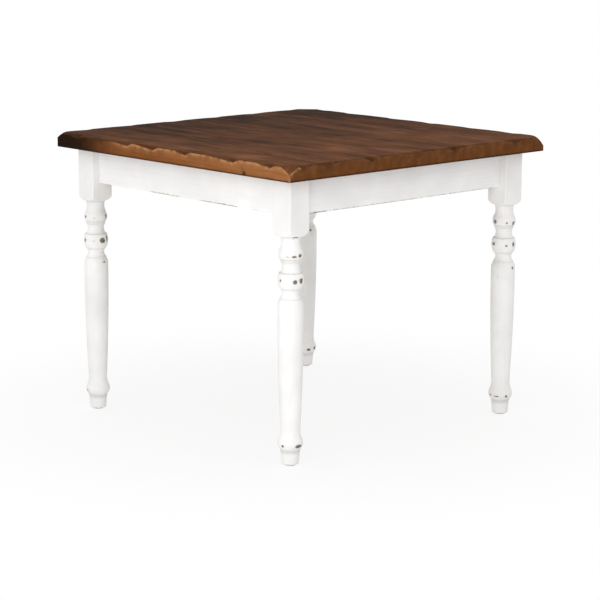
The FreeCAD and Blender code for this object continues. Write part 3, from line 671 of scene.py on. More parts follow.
def wood_screw(diameter, length):
    """Return a wood screw along +Z: a pan head below Z = 0 with a cross recess, and a threaded shank."""
    radius, tall = SCREW_HEAD
    shank = 0.5 * diameter
    outline = [(radius * 0.80, -tall), (radius * 0.96, -tall * 0.72), (radius, -tall * 0.35)]
    outline += [(radius, 0.0), (shank * 0.95, 0.0)]
    height = SCREW_NECK
    while height < length - diameter - SCREW_PITCH:
        outline += [(shank * SCREW_CORE, height), (shank, height + 0.5 * SCREW_PITCH)]
        height += SCREW_PITCH
    outline += [(shank * SCREW_CORE, length - diameter), (0.0002, length)]
    shell = lathe(outline, SCREW_SIDES)
    face = min(shell.faces, key=lambda each: each.calc_center_median().z)
    rim = list(face.edges)
    shell.faces.remove(face)
    mouth = []
    for quarter_turn in range(4):
        heading = Quaternion((0, 0, 1), quarter_turn * math.pi / 2)
        for x, y in ((RECESS_ARM, -RECESS_WEB), (RECESS_ARM, RECESS_WEB), (RECESS_WEB, RECESS_WEB)):
            mouth.append(shell.verts.new(heading @ Vector((x, y, -tall))))
    edges = [shell.edges.new((mouth[here - 1], vert)) for here, vert in enumerate(mouth)]
    bmesh.ops.triangle_fill(shell, use_beauty=True, edges=rim + edges)
    inside = [each for each in shell.faces if all(vert in mouth for vert in each.verts)]
    bmesh.ops.delete(shell, geom=inside, context="FACES_ONLY")
    bottom = [shell.verts.new(vert.co + RECESS_DEPTH) for vert in mouth]
    for here in range(len(mouth)):
        shell.faces.new((mouth[here - 1], mouth[here], bottom[here], bottom[here - 1]))
    shell.faces.new(bottom)
    bmesh.ops.recalc_face_normals(shell, faces=shell.faces)
    return shell


APRON_MIDDLE = 0.6965
APRON_SET_BACK = 0.022
BLOCK_GAP = 0.003
BLOCK_REACH = 0.040
BOLT_IN_LEG = 0.040
BOLT_SPREAD = 0.036
BOLT_PITCH = 0.00125
BOLT_END = 0.005
BOLT_CORE = 0.0033
BOLT_CREST = 0.0040
SCREW_SPREAD = 0.044
SCREW_SEAT = 0.012
WASHER_THICK = 0.0016
NUT_TALL = 0.0065
NUT_HALF = 0.0065
NUT_CHAMFER = 0.0064
BORE = 0.0042
ROOT_HALF = math.sqrt(0.5)
chamfer_depth = LEG_BLOCK - LEG_CHAMFER
bolt_start = ROOT_HALF * chamfer_depth - BOLT_IN_LEG
block_face = ROOT_HALF * (chamfer_depth + BLOCK_GAP + BLOCK_REACH)
screw_row = 0.5 * LEG_BLOCK + chamfer_depth + BLOCK_GAP - APRON_SET_BACK - APRON_THICK + 0.5 * BLOCK_REACH
screw_seat = APRON_SET_BACK + APRON_THICK - 0.5 * LEG_BLOCK + SCREW_SEAT

bolt_places = []
washer_places = []
block_screw_places = []
for side_x, side_y, turn in LEGS.values():
    heading = Quaternion((0, 0, 1), math.radians(turn))
    centre = Vector((side_x * LEG_CENTRE, side_y * LEG_CENTRE, 0))
    inward = heading @ Vector((ROOT_HALF, ROOT_HALF, 0))
    for level in (-0.5, 0.5):
        height = Vector((0, 0, APRON_MIDDLE + level * BOLT_SPREAD))
        bolt_places.append((centre + inward * bolt_start + height, inward, 0.0))
        washer_places.append((centre + inward * block_face + height, inward, 0.0))
        height = Vector((0, 0, APRON_MIDDLE + level * SCREW_SPREAD))
        for x, y, aim_along in ((screw_row, screw_seat, (0, -1, 0)), (screw_seat, screw_row, (-1, 0, 0))):
            point = centre + heading @ Vector((x, y, 0)) + height
            block_screw_places.append((point, heading @ Vector(aim_along), 0.0))

# Hanger bolts, 8 mm over the thread.
bolt_length = BOLT_IN_LEG + ROOT_HALF * (BLOCK_GAP + BLOCK_REACH) + WASHER_THICK + NUT_TALL + BOLT_END
bolt_outline = [(0.0032, 0.0)]
height = 0.0012
while height < bolt_length - 0.002:
    bolt_outline += [(BOLT_CORE, height), (BOLT_CREST, height + 0.0006)]
    height += BOLT_PITCH
bolt_outline += [(0.0034, bolt_length - 0.0006), (0.0030, bolt_length)]
fasten("threaded_hanger_bolts", "hanger_bolts", lathe(bolt_outline, 20), bolt_places, 1.0, 3)

# Washers 18 mm across with eased rims, and hexagon nuts on them, 13 mm over the flats with their
# corners chamfered.
washer_outline = [(BORE, 0.0), (0.0087, 0.0), (0.0090, 0.0003), (0.0090, 0.0013)]
washer_outline += [(0.0087, WASHER_THICK), (BORE, WASHER_THICK)]
fasten("flat_washers", "hanger_washers", lathe(washer_outline, 36, True), washer_places, 0.0, 4)


def nut_flat(angle):
    """Return how far a hexagon nut reaches at an angle."""
    return NUT_HALF / math.cos((angle + math.pi / 6) % (math.pi / 3) - math.pi / 6)


def nut_end(angle):
    """Return how far the chamfered end of a nut reaches at an angle."""
    return min(nut_flat(angle), NUT_CHAMFER)


nut_outline = [(BORE, 0.0), (nut_end, 0.0), (nut_flat, 0.0006)]
nut_outline += [(nut_flat, 0.0059), (nut_end, NUT_TALL), (BORE, NUT_TALL)]
fasten("hexagon_nuts", "hanger_nuts", lathe(nut_outline, 36, True), washer_places, 0.5, 5, WASHER_THICK)

block_screw = wood_screw(0.0045, 0.027)
fasten("block_wood_screws", "corner_block_screws", block_screw, block_screw_places, SCREW_WOBBLE, 6)

# Batten screws, one up into each board, kept back from the ends of the battens.
TOP_HALF = 0.475
BOARDS = 6
BATTEN_X = 0.230
LAST_SCREW = 0.365
BATTEN_SEAT = UNDERSIDE - 0.019
batten_screw_places = []
for x in (-BATTEN_X, BATTEN_X):
    for board in range(BOARDS):
        y = ((board + 0.5) / BOARDS - 0.5) * 2 * TOP_HALF
        point = (x, max(-LAST_SCREW, min(LAST_SCREW, y)), BATTEN_SEAT)
        batten_screw_places.append((point, (0, 0, 1), 0.0))
batten_screw = wood_screw(0.0045, 0.041)
fasten("batten_wood_screws", "batten_screws", batten_screw, batten_screw_places, SCREW_WOBBLE, 7)

# Top clips: strips of 2 mm steel pressed into a step, hooked in the groove of an apron and
# screwed up into the boards. The outline is distance in from the apron's face and height.
CLIP = (
    (0.014, 0.733),
    (0.024, 0.733),
    (0.024, 0.743),
    (0.044, 0.743),
    (0.044, 0.745),
    (0.022, 0.745),
    (0.022, 0.735),
    (0.014, 0.735),
)
CLIP_WIDE = 0.020
CLIP_EASE = 0.0004
CLIP_ALONG = 0.110
CLIP_SCREW = (0.034, 0.743)
clip_places = []
clip_screw_places = []
for turn in SIDES.values():
    heading = Quaternion((0, 0, 1), math.radians(turn))
    for along in (-CLIP_ALONG, CLIP_ALONG):
        foot = heading @ Vector((along, -APRON_FACE, 0))
        clip_places.append((foot, (0, 0, 1), math.radians(turn)))
        seat = heading @ Vector((along, CLIP_SCREW[0] - APRON_FACE, CLIP_SCREW[1]))
        clip_screw_places.append((seat, (0, 0, 1), 0.0))
strip = bmesh.new()
flank = strip.faces.new([strip.verts.new((-0.5 * CLIP_WIDE, across, height)) for across, height in CLIP])
pulled = bmesh.ops.extrude_face_region(strip, geom=[flank])
moved = [each for each in pulled["geom"] if isinstance(each, bmesh.types.BMVert)]
bmesh.ops.translate(strip, vec=(CLIP_WIDE, 0, 0), verts=moved)
bmesh.ops.recalc_face_normals(strip, faces=strip.faces)
edges = list(strip.edges)
bmesh.ops.bevel(strip, geom=edges, offset=CLIP_EASE, segments=2, affect="EDGES", profile=0.5)
fasten("pressed_top_clips", "top_clips", strip, clip_places, 0.0, 8)
clip_screw = wood_screw(0.004, 0.020)
fasten("clip_wood_screws", "top_clip_screws", clip_screw, clip_screw_places, SCREW_WOBBLE, 9)

# Tabletop boards: six planed pine boards edge-glued along X, hewn along the upper arris, then
# stained dark and waxed. The stain sits darker in the hollows, with painted shade along the hewn roll-over
# and down the ends, and is rubbed off the arrises, with a painted highlight along them.
TOP = 0.785
BOARD_CREASE = 24

# Drop and inset of the ridges between strokes, of a full stroke, of its roughness and of a corner.
RIDGE = (0.003, 0.004)
STROKE = (0.009, 0.010)
ROUGH = (0.0008, 0.0020)
CORNER = (0.023, 0.028)
HEWN_WIDE = 0.022
HEWN_CURVE = 1.9
ROUGH_RATE = 110

# Hewing strokes in shares of half an edge: where each is deepest, its bite, its run in and out.
STROKES = {
    "front": (
        (-0.80, 0.70, 0.10, 0.05),
        (-0.585, 0.60, 0.12, 0.03),
        (-0.35, 0.90, 0.17, 0.035),
        (-0.12, 1.00, 0.16, 0.04),
        (0.157, 1.00, 0.10, 0.035),
        (0.555, 1.00, 0.20, 0.045),
        (0.85, 0.90, 0.12, 0.035),
    ),
    "right": (
        (-0.89, 0.80, 0.06, 0.07),
        (-0.73, 0.95, 0.07, 0.11),
        (-0.395, 1.00, 0.06, 0.06),
        (-0.05, 0.70, 0.09, 0.07),
        (0.25, 0.85, 0.09, 0.09),
        (0.76, 0.80, 0.06, 0.12),
    ),
    "back": (
        (-0.83, 0.70, 0.08, 0.06),
        (-0.60, 0.90, 0.05, 0.14),
        (-0.22, 0.80, 0.04, 0.16),
        (0.12, 1.00, 0.09, 0.05),
        (0.43, 0.70, 0.05, 0.13),
        (0.78, 0.95, 0.12, 0.05),
    ),
    "left": (
        (-0.80, 0.90, 0.09, 0.05),
        (-0.47, 0.75, 0.13, 0.05),
        (-0.15, 1.00, 0.05, 0.12),
        (0.20, 0.80, 0.10, 0.06),
        (0.50, 0.95, 0.06, 0.12),
        (0.84, 0.70, 0.10, 0.05),
    ),
}

# Corners: sides along X and Y, shares of the drop and inset, how rounded, and how dark they are.
CORNERS = (
    (1, -1, 1.0, 1.0, 1.2, 0.0),
    (-1, -1, 0.65, 0.96, 1.9, 1.2),
    (1, 1, 1.13, 1.36, 2.6, 0.9),
    (-1, 1, 1.1, 1.4, 2.2, 0.35),
)

# Boards from the front one to the back: heart of the tree that each was sawn from, as Y from the
# board's middle and Z from its underside, and how much lighter or darker it took the stain.
PLANKS = (
    (0.050, -0.060, 0.05),
    (-0.060, 0.110, -0.05),
    (0.030, -0.045, 0.01),
    (-0.020, 0.120, -0.05),
    (0.070, -0.070, 0.03),
    (-0.040, -0.055, -0.05),
)

# Grid lines of the boards: their distances in from a hewn edge, and how far apart they lie elsewhere.
HEWN_LINES = [0.0, 0.0004, 0.0009, 0.0016, 0.0025, 0.0036, 0.005, 0.0066, 0.0085]
HEWN_LINES += [0.0107, 0.0132, 0.016, 0.019, 0.023]
CLOSE = 0.003
WIDE = 0.020

# Levels down an edge: the arris, one just under it, two shares of the height left, and the underside.
UNDER_ARRIS = 0.0012
WALL_SHARES = (0.80, 0.40)
LAST_LEVEL = 2 + len(WALL_SHARES)

# How far the rubbing and its painted highlight go at the first three levels, and how far down the
# darkening of the hollows runs on the long edges and on the end grain, where it reaches further as painted
# shade.
RUB_AND_HIGHLIGHT_FADES = (1.0, 0.85, 0.25)
EDGE_HOLLOW_FADES = (1.0, 0.4, 0.0)
END_HOLLOW_FADES = (1.0, 1.0, 0.35)

# Rubbing with its painted highlight: its width, where it starts along X and over what run, its strength on
# the long edges and on the ends, the reach of the rubbed and highlit front-right corner, and the width and
# strength of the pale line down that corner.
RUB_AND_HIGHLIGHT_WIDE = 0.0018
RUB_AND_HIGHLIGHT_START = -0.26
RUB_AND_HIGHLIGHT_RUN = 0.10
LONG_RUB_AND_HIGHLIGHT = 0.8
END_RUB_AND_HIGHLIGHT = 0.12
END_WIDE = 0.002
BRIGHT_CORNER_REACH = 0.040
CORNER_LINE = 0.0026
CORNER_RUB_AND_HIGHLIGHT = 0.75


def bite_at(side, share):
    """Return how deep the hewing bites at a share of an edge, from 0 on a ridge to 1."""
    deepest = 0.0
    for where, bite, run_in, run_out in STROKES[side]:
        gap = share - where
        fade = 1 + gap / run_in if gap < 0 else 1 - gap / run_out
        deepest = max(deepest, bite * max(0.0, fade))
    return deepest


def hewn(x, y):
    """Return how far the hewing lowers the top, and how dark the stain and painted shade of the hollows
    are.
    """
    lowest = 0.0
    hollow = 0.0
    for side, gap, along in (
        ("front", TOP_HALF + y, x),
        ("back", TOP_HALF - y, x),
        ("right", TOP_HALF - x, y),
        ("left", TOP_HALF + x, y),
    ):
        if gap > HEWN_WIDE:
            continue
        bite = bite_at(side, along / TOP_HALF)
        rough = 0.6 + 0.4 * noise.noise(Vector((ROUGH_RATE * along, 7.0 * len(side), 0.0)))
        cuts = zip(RIDGE, STROKE, ROUGH)
        drop, inset = [ridge + stroke * bite + bump * rough for ridge, stroke, bump in cuts]
        share = 1 - gap / inset
        if share > 0:
            lowest = max(lowest, drop * share**HEWN_CURVE)
            # Ridges darken too, as painted shade along the roll-over of the hewn edge.
            hollow = max(hollow, (0.5 + 0.5 * bite) * min(1.0, 1.8 * share))
    for side_x, side_y, drop_share, inset_share, round_over, dark in CORNERS:
        gap = (2 * TOP_HALF - side_x * x - side_y * y) * ROOT_HALF
        share = 1 - gap / (CORNER[1] * inset_share)
        if share > 0:
            lowest = max(lowest, CORNER[0] * drop_share * share**round_over)
            hollow = max(hollow, dark * min(1.0, 2 * share)) if dark else min(hollow, 1 - share)
    return lowest, hollow


def rub_and_highlight_at(x, y, depth):
    """Return the rubbing and painted highlight at a point, so many levels below the upper arris."""
    from_corner = (TOP_HALF - x, TOP_HALF + y)
    wear_and_painted_light = LONG_RUB_AND_HIGHLIGHT * max(0.0, min(1.0, (x - RUB_AND_HIGHLIGHT_START) / RUB_AND_HIGHLIGHT_RUN))
    if TOP_HALF - abs(x) < END_WIDE and sum(from_corner) >= BRIGHT_CORNER_REACH:
        wear_and_painted_light = END_RUB_AND_HIGHLIGHT
    fade = RUB_AND_HIGHLIGHT_FADES[depth] if depth < len(RUB_AND_HIGHLIGHT_FADES) else 0.0
    if max(from_corner) < CORNER_LINE:
        fade = CORNER_RUB_AND_HIGHLIGHT
    gap = TOP_HALF - max(abs(x), abs(y))
    return wear_and_painted_light * fade * max(0.0, 1 - gap / RUB_AND_HIGHLIGHT_WIDE)


def grid_lines(low, high, step, fine_low, fine_high):
    """Return grid lines between two edges, a step apart, drawn close together at hewn edges."""
    found = {low, high}
    start = low
    stop = high
    if fine_low:
        found |= {low + gap for gap in HEWN_LINES}
        start = low + HEWN_LINES[-1]
    if fine_high:
        found |= {high - gap for gap in HEWN_LINES}
        stop = high - HEWN_LINES[-1]
    count = max(1, round((stop - start) / step))
    found |= {start + (stop - start) * number / count for number in range(count + 1)}
    return sorted({round(line, 7) for line in found})


# Dark walnut stain over pine under a thin dull wax: streaks along the boards, honey-brown edges.
stained, tree, shader, place = new_finish("stained_waxed_pine")
normal = add_node(tree, "ShaderNodeTexCoord", out="Normal")
spot = add_node(tree, "ShaderNodeSeparateXYZ", {0: place}, out=None).outputs
lean = add_node(tree, "ShaderNodeSeparateXYZ", {0: normal}, out=None).outputs
timber = add_node(tree, "ShaderNodeAttribute", out="Vector", attribute_name="timber")
rub_and_highlight = add_node(tree, "ShaderNodeAttribute", out="Fac", attribute_name="rub_and_highlight")
hollow = add_node(tree, "ShaderNodeAttribute", out="Fac", attribute_name="hollow")
plank_tone = add_node(tree, "ShaderNodeAttribute", out="Fac", attribute_name="plank_tone")
# The heart wanders 18 mm over 900 mm of board.
size = {0: timber, 1: (1 / 0.900, 1 / 0.150, 1 / 0.150)}
slow = add_node(tree, "ShaderNodeVectorMath", size, operation="MULTIPLY")
wander = add_node(tree, "ShaderNodeTexNoise", {"Vector": slow, "Scale": 1.0, "Detail": 2.0}, out="Color")
drift = {0: wander, 1: (0.0, 0.036, 0.036), 2: timber}
bent = add_node(tree, "ShaderNodeVectorMath", drift, operation="MULTIPLY_ADD")
# Growth rings 6 mm apart.
GROWTH_RINGS = {"wave_type": "RINGS", "rings_direction": "X", "wave_profile": "SAW"}
ringed = {"Vector": bent, "Scale": METRE_WAVES / 0.006, "Distortion": 1.2}
ringed |= {"Detail": 2.0, "Detail Scale": 1.5}
growth = add_node(tree, "ShaderNodeTexWave", ringed, out="Fac", **GROWTH_RINGS)
# Figures, each with its length, width, height, detail and roughness: long stain streaks, fine fibres,
# short stretches of open grain, ragged clouds of stain, and upright streaks soaked into the ends.
figures = []
for source, length, width, tall, detail, roughness in (
    (bent, 0.300, 0.028, 0.028, 5.0, 0.62),
    (bent, 0.050, 0.0015, 0.0015, 2.0, 0.5),
    (bent, 0.120, 0.011, 0.011, 2.0, 0.5),
    (timber, 0.150, 0.070, 0.070, 4.0, 0.58),
    (place, 0.040, 0.016, 0.200, 4.0, 0.6),
):
    size = {0: source, 1: (1 / length, 1 / width, 1 / tall)}
    drawn = add_node(tree, "ShaderNodeVectorMath", size, operation="MULTIPLY")
    grained = {"Vector": drawn, "Scale": 1.0, "Detail": detail, "Roughness": roughness}
    figures.append(add_node(tree, "ShaderNodeTexNoise", grained))
streak, fibre, open_grain, cloud, soak = figures
# Here and there the open grain filled with stain and shows as a dark dash.
spread = {"Value": open_grain, "From Min": 0.50, "From Max": 0.80, "To Max": -0.30}
dash = add_node(tree, "ShaderNodeMapRange", spread, interpolation_type="SMOOTHSTEP")
# The whole top is darker towards its far left corner; towards the back this is painted shade, the falloff
# of the light from the front.
painted_falloff_back = add_node(tree, "ShaderNodeMath", {0: spot["Y"], 1: 0.3}, operation="MULTIPLY")
falloff_and_corner_slope = add_node(tree, "ShaderNodeMath", {0: painted_falloff_back, 1: spot["X"]}, operation="SUBTRACT")
spread = {"Value": falloff_and_corner_slope, "From Min": -0.32, "From Max": 0.45, "To Min": -0.200, "To Max": -0.495}
tone_with_painted_falloff = add_node(tree, "ShaderNodeMapRange", spread)
tone = add_node(tree, "ShaderNodeMath", {0: tone_with_painted_falloff, 1: plank_tone}, operation="ADD")
for figure, strength in ((streak, 0.60), (cloud, 0.75), (dash, 1.0), (growth, -0.13), (fibre, 0.30)):
    tone = add_node(tree, "ShaderNodeMath", {0: figure, 1: strength, 2: tone}, operation="MULTIPLY_ADD")
walnut = ((0.12, "2B170B"), (0.55, "653E24"), (0.85, "8B5A39"))
face_colour = add_node(tree, "ShaderNodeValToRGB", {"Fac": tone}, stops=walnut)
# The long edges take a softer figure, paler towards the right, with ruddy patches 20 mm across.
patchy = add_node(tree, "ShaderNodeTexNoise", {"Vector": place, "Scale": 1 / 0.020, "Detail": 2.0})
paler = add_node(tree, "ShaderNodeMath", {0: spot["X"], 1: 0.30, 2: 0.25}, operation="MULTIPLY_ADD")
edge_tone = add_node(tree, "ShaderNodeMath", {0: tone, 1: 0.5, 2: paler}, operation="MULTIPLY_ADD")
honey = ((0.10, "5A361C"), (0.50, "7B4C28"), (0.90, "A67146"))
edge_colour = add_node(tree, "ShaderNodeValToRGB", {"Fac": edge_tone}, stops=honey)
spread = {"Value": patchy, "From Min": 0.45, "From Max": 0.70, "To Max": 0.45}
ruddy = add_node(tree, "ShaderNodeMapRange", spread)
laid = {0: ruddy, 6: edge_colour, 7: linear("87491F")}
edge_colour = add_node(tree, "ShaderNodeMix", laid, out=2, data_type="RGBA")
# The ends of the boards are an even brown, broken by the soaked streaks and the patches.
soaked = add_node(tree, "ShaderNodeMix", {0: 0.5, 2: soak, 3: patchy})
browns = ((0.20, "50311A"), (0.50, "653D1F"), (0.80, "784926"))
end_colour = add_node(tree, "ShaderNodeValToRGB", {"Fac": soaked}, stops=browns)
upright = add_node(tree, "ShaderNodeMath", {0: lean["Z"]}, operation="ABSOLUTE")
sideways = add_node(tree, "ShaderNodeMath", {0: lean["X"]}, operation="ABSOLUTE")
spread = {"Value": upright, "From Min": 0.45, "From Max": 0.20}
is_edge = add_node(tree, "ShaderNodeMapRange", spread, interpolation_type="SMOOTHSTEP")
spread = {"Value": sideways, "From Min": 0.55, "From Max": 0.75}
is_end = add_node(tree, "ShaderNodeMapRange", spread, interpolation_type="SMOOTHSTEP")
laid = {0: is_end, 6: edge_colour, 7: end_colour}
sawn = add_node(tree, "ShaderNodeMix", laid, out=2, data_type="RGBA")
# The edges round the front-left corner are much darker, and so is the lower arris, in the last 6 mm.
from_corner = add_node(tree, "ShaderNodeMath", {0: spot["X"], 1: spot["Y"]}, operation="ADD")
ragged = {0: patchy, 1: 0.050, 2: from_corner}
ragged_gap = add_node(tree, "ShaderNodeMath", ragged, operation="MULTIPLY_ADD")
spread = {"Value": ragged_gap, "From Min": -0.61, "From Max": -0.86, "To Max": 0.97}
dark_corner = add_node(tree, "ShaderNodeMapRange", spread, interpolation_type="SMOOTHSTEP")
spread = {"Value": spot["Z"], "From Min": UNDERSIDE + 0.006, "From Max": UNDERSIDE + 0.002, "To Max": 0.75}
darker_lower_arris = add_node(tree, "ShaderNodeMapRange", spread)
layers = [(is_edge, sawn)]
for darkened, code in ((dark_corner, "1A0F08"), (darker_lower_arris, "2C1A11")):
    on_edge = add_node(tree, "ShaderNodeMath", {0: darkened, 1: is_edge}, operation="MULTIPLY")
    layers.append((on_edge, linear(code)))
# Knots: tight, dark and 12 to 26 mm across, and one that breaks out at the foot of the front edge
# with a faint check above it.
for heart, spans, strength in (
    ((0.255, -0.350, TOP), (0.013, 0.007, 0.020), 0.6),
    ((0.300, -0.335, TOP), (0.010, 0.006, 0.020), 0.6),
    ((-0.080, -0.220, TOP), (0.013, 0.007, 0.020), 0.6),
    ((-0.330, 0.130, TOP), (0.012, 0.007, 0.020), 0.6),
    ((0.120, 0.265, TOP), (0.013, 0.008, 0.020), 0.6),
    ((0.306, -TOP_HALF, 0.750), (0.007, 0.010, 0.009), 0.75),
    ((0.298, -TOP_HALF, 0.764), (0.005, 0.010, 0.012), 0.22),
):
    off = add_node(tree, "ShaderNodeVectorMath", {0: place, 1: heart}, operation="SUBTRACT")
    scaled = {0: off, 1: [1 / span for span in spans]}
    oval = add_node(tree, "ShaderNodeVectorMath", scaled, operation="MULTIPLY")
    far = add_node(tree, "ShaderNodeVectorMath", {0: oval}, out="Value", operation="LENGTH")
    frayed = add_node(tree, "ShaderNodeMath", {0: streak, 1: 1.2, 2: far}, operation="MULTIPLY_ADD")
    spread = {"Value": frayed, "From Min": 1.9, "From Max": 1.1, "To Max": strength}
    knot = add_node(tree, "ShaderNodeMapRange", spread, interpolation_type="SMOOTHSTEP")
    layers.append((knot, linear("2B1A12")))
# The stain settles in the hollows, deepened by painted shade, and the rubbed arris with its painted
# highlight is broken up every 20 mm or so.
settled_stain_and_shade = add_node(tree, "ShaderNodeMath", {0: hollow, 1: 0.62}, operation="MULTIPLY")
spread = {"Value": patchy, "From Min": 0.38, "From Max": 0.62, "To Min": 0.25, "To Max": 0.9}
broken = add_node(tree, "ShaderNodeMapRange", spread, interpolation_type="SMOOTHSTEP")
# Painted highlight and rubbing along the upper arris, in a pale honey colour.
rubbed_and_highlit = add_node(tree, "ShaderNodeMath", {0: broken, 1: rub_and_highlight}, operation="MULTIPLY")
layers += [(settled_stain_and_shade, linear("3A2110")), (rubbed_and_highlit, linear("C58F62"))]
colour = face_colour
for share, over in layers:
    laid = {0: share, 6: colour, 7: over}
    colour = add_node(tree, "ShaderNodeMix", laid, out=2, data_type="RGBA")
dull = add_node(tree, "ShaderNodeMapRange", {"Value": fibre, "To Min": 0.74, "To Max": 0.92})
# Growth rings and fibres stand up to 0.3 mm proud.
relief = add_node(tree, "ShaderNodeMath", {0: growth, 1: 0.5, 2: fibre}, operation="MULTIPLY_ADD")
bump = add_node(tree, "ShaderNodeBump", {"Strength": 0.5, "Distance": 0.0003, "Height": relief})
set_inputs(tree, shader, {"Base Color": colour, "Roughness": dull, "Normal": bump})
set_inputs(tree, shader, {"IOR": 1.45, "Specular IOR Level": 0.06})

# How far apart along the timber the boards were cut.
PLANK_SHIFT = 1.7
for board, (heart_y, heart_z, tone_shift) in enumerate(PLANKS):
    low = -TOP_HALF + board * 2 * TOP_HALF / BOARDS
    high = low + 2 * TOP_HALF / BOARDS
    middle = 0.5 * (low + high)
    is_first = board == 0
    is_last = board == BOARDS - 1
    across_lines = grid_lines(low, high, CLOSE, is_first, is_last)
    along_lines = grid_lines(-TOP_HALF, TOP_HALF, CLOSE if is_first or is_last else WIDE, True, True)
    last_x = len(along_lines) - 1
    last_y = len(across_lines) - 1
    index = {}
    vertices = []
    rubs_and_highlights = []
    stain_and_shade_in_hollows = []
    for i, x in enumerate(along_lines):
        for j, y in enumerate(across_lines):
            drop, hollow_darkening = hewn(x, y)
            arris_height = TOP - drop
            levels = {0: arris_height, LAST_LEVEL: UNDERSIDE}
            if i in (0, last_x) or j in (0, last_y):
                levels[1] = arris_height - UNDER_ARRIS
                for depth, share in enumerate(WALL_SHARES, 2):
                    levels[depth] = UNDERSIDE + share * (arris_height - UNDERSIDE)
            hollow_fades = END_HOLLOW_FADES if i in (0, last_x) else EDGE_HOLLOW_FADES
            for depth, level in sorted(levels.items()):
                index[i, j, depth] = len(vertices)
                vertices.append((x, y, level))
                rubs_and_highlights.append(rub_and_highlight_at(x, y, depth))
                stain_and_shade_in_hollows.append(hollow_darkening * hollow_fades[depth] if depth < len(hollow_fades) else 0.0)
    faces = []
    for i in range(last_x):
        for j in range(last_y):
            cell = ((i, j), (i + 1, j), (i + 1, j + 1), (i, j + 1))
            faces += [[index[(*corner, depth)] for corner in cell] for depth in (0, LAST_LEVEL)]
    walls = [((i, j), (i + 1, j)) for i in range(last_x) for j in (0, last_y)]
    walls += [((i, j), (i, j + 1)) for j in range(last_y) for i in (0, last_x)]
    for one, two in walls:
        for depth in range(LAST_LEVEL):
            quad = ((*one, depth), (*two, depth), (*two, depth + 1), (*one, depth + 1))
            faces.append([index[corner] for corner in quad])
    plank = add_piece(f"hewn_pine_board_{board + 1}", vertices, faces, stained, BOARD_CREASE)
    mark(plank, "rub_and_highlight", rubs_and_highlights)
    mark(plank, "hollow", stain_and_shade_in_hollows)
    mark(plank, "plank_tone", [tone_shift] * len(vertices))
    heart = (-PLANK_SHIFT * board, middle + heart_y, UNDERSIDE + heart_z)
    from_heart = [value - zero for vertex in vertices for value, zero in zip(vertex, heart)]
    mark(plank, "timber", from_heart, "vector")
    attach(plank, "root")
    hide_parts(f"top_board_{board + 1}")

# Foot glides: moulded nylon discs with a nail, driven up into the feet.
# They keep their solids from the frame.
nylon, tree, shader, place = new_finish("moulded_nylon")
# Scuffs about 3 mm across on an off-white moulding.
scuff = add_node(tree, "ShaderNodeTexNoise", {"Vector": place, "Scale": 1 / 0.003, "Detail": 3.0})
whites = ((0.35, "CFCBC4"), (0.70, "DEDBD5"))
off_white = add_node(tree, "ShaderNodeValToRGB", {"Fac": scuff}, stops=whites)
dull = add_node(tree, "ShaderNodeMapRange", {"Value": scuff, "To Min": 0.40, "To Max": 0.65})
set_inputs(tree, shader, {"Base Color": off_white, "Roughness": dull, "IOR": 1.53})
for corner in LEGS:
    refinish(f"foot_glide_{corner}", nylon)

# Studio: a pale floor that shows white to the camera and keeps a soft shadow, a white surround,
# and one large softbox in front of the table.
FLOOR_HALF = 30
SOFTBOX_AT = Vector((1.6, -2.7, 1.15))
SOFTBOX_AIM = Vector((0.1, -0.3, 0.5))


def seen_rays(tree):
    """Return a socket that is 1 where the background is looked at, straight or in metal and glass."""
    path = add_node(tree, "ShaderNodeLightPath", out=None).outputs
    mirrored = {0: path["Is Glossy Ray"], 1: path["Is Transmission Ray"]}
    mirror = add_node(tree, "ShaderNodeMath", mirrored, operation="MAXIMUM")
    return add_node(tree, "ShaderNodeMath", {0: path["Is Camera Ray"], 1: mirror}, operation="MAXIMUM")


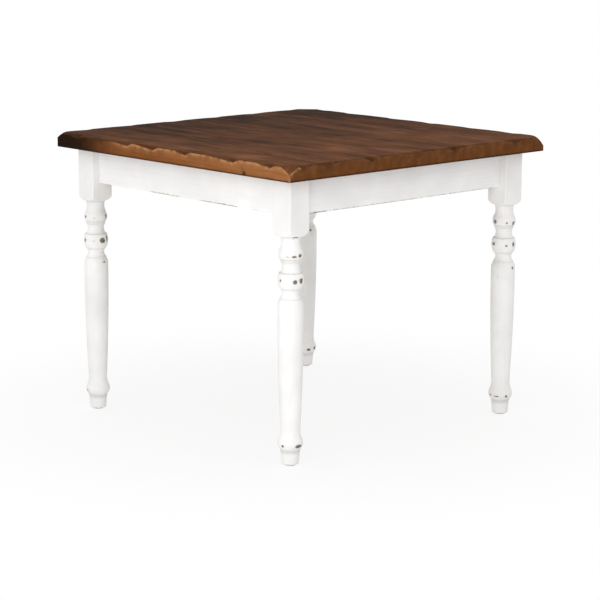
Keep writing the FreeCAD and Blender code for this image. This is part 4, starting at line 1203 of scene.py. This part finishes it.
# The floor glows white where it is looked at, and least under the table, so that the shadow shows.
floor_finish, tree, shader, place = new_finish("pale_studio_floor")
set_inputs(tree, shader, {"Base Color": linear("F2F2F2"), "Roughness": 0.9, "Specular IOR Level": 0.0})
away = add_node(tree, "ShaderNodeVectorMath", {0: place}, out="Value", operation="LENGTH")
spread = {"Value": away, "From Min": 0.5, "From Max": 1.3, "To Min": 0.82, "To Max": 1.0}
fade = add_node(tree, "ShaderNodeMapRange", spread, interpolation_type="SMOOTHSTEP")
lit = add_node(tree, "ShaderNodeMath", {0: seen_rays(tree), 1: fade}, operation="MULTIPLY")
glow = add_node(tree, "ShaderNodeEmission", {"Color": (1.0, 1.0, 1.0, 1.0), "Strength": 1.0})
mixed = add_node(tree, "ShaderNodeMixShader", {0: lit, 1: shader.outputs[0], 2: glow})
set_inputs(tree, tree.nodes["Material Output"], {"Surface": mixed})
floor_mesh = bpy.data.meshes.new("studio_floor")
floor_corners = [(x * FLOOR_HALF, y * FLOOR_HALF, 0) for x, y in ((-1, -1), (1, -1), (1, 1), (-1, 1))]
floor_mesh.from_pydata(floor_corners, [], [(0, 1, 2, 3)])
floor_mesh.materials.append(floor_finish)
floor = set_down("studio_floor", floor_mesh)

world = bpy.data.worlds.new("studio_surround")
world.use_nodes = True
bpy.context.scene.world = world
tree = world.node_tree
strength = add_node(tree, "ShaderNodeMapRange", {"Value": seen_rays(tree), "To Min": 0.88, "To Max": 1.0})
set_inputs(tree, tree.nodes["Background"], {"Color": (1.0, 1.0, 1.0, 1.0), "Strength": strength})

lamp = bpy.data.lights.new("front_softbox", "AREA")
lamp.size = 2.2
lamp.energy = 28
softbox = set_down("front_softbox", lamp)
softbox.location = SOFTBOX_AT
softbox.rotation_euler = (SOFTBOX_AIM - SOFTBOX_AT).to_track_quat("-Z", "Y").to_euler()

# Camera: a long lens above the near corner, looking down on the top at a low angle.
CAMERA_AT = (4.3266, -4.0264, 1.4993)
YAW, PITCH, ROLL = [math.radians(turn) for turn in (47.027, 11.303, 0.26)]
view = Vector((-math.sin(YAW) * math.cos(PITCH), math.cos(YAW) * math.cos(PITCH), -math.sin(PITCH)))
lens = bpy.data.cameras.new("long_lens")
lens.sensor_width = 36.0
lens.lens = 128.994
camera = set_down("long_lens", lens)
camera.location = CAMERA_AT
camera.rotation_euler = (view.to_track_quat("-Z", "Y") @ Quaternion((0, 0, 1), ROLL)).to_euler()
bpy.context.scene.camera = camera
bpy.context.scene.view_settings.view_transform = "Standard"
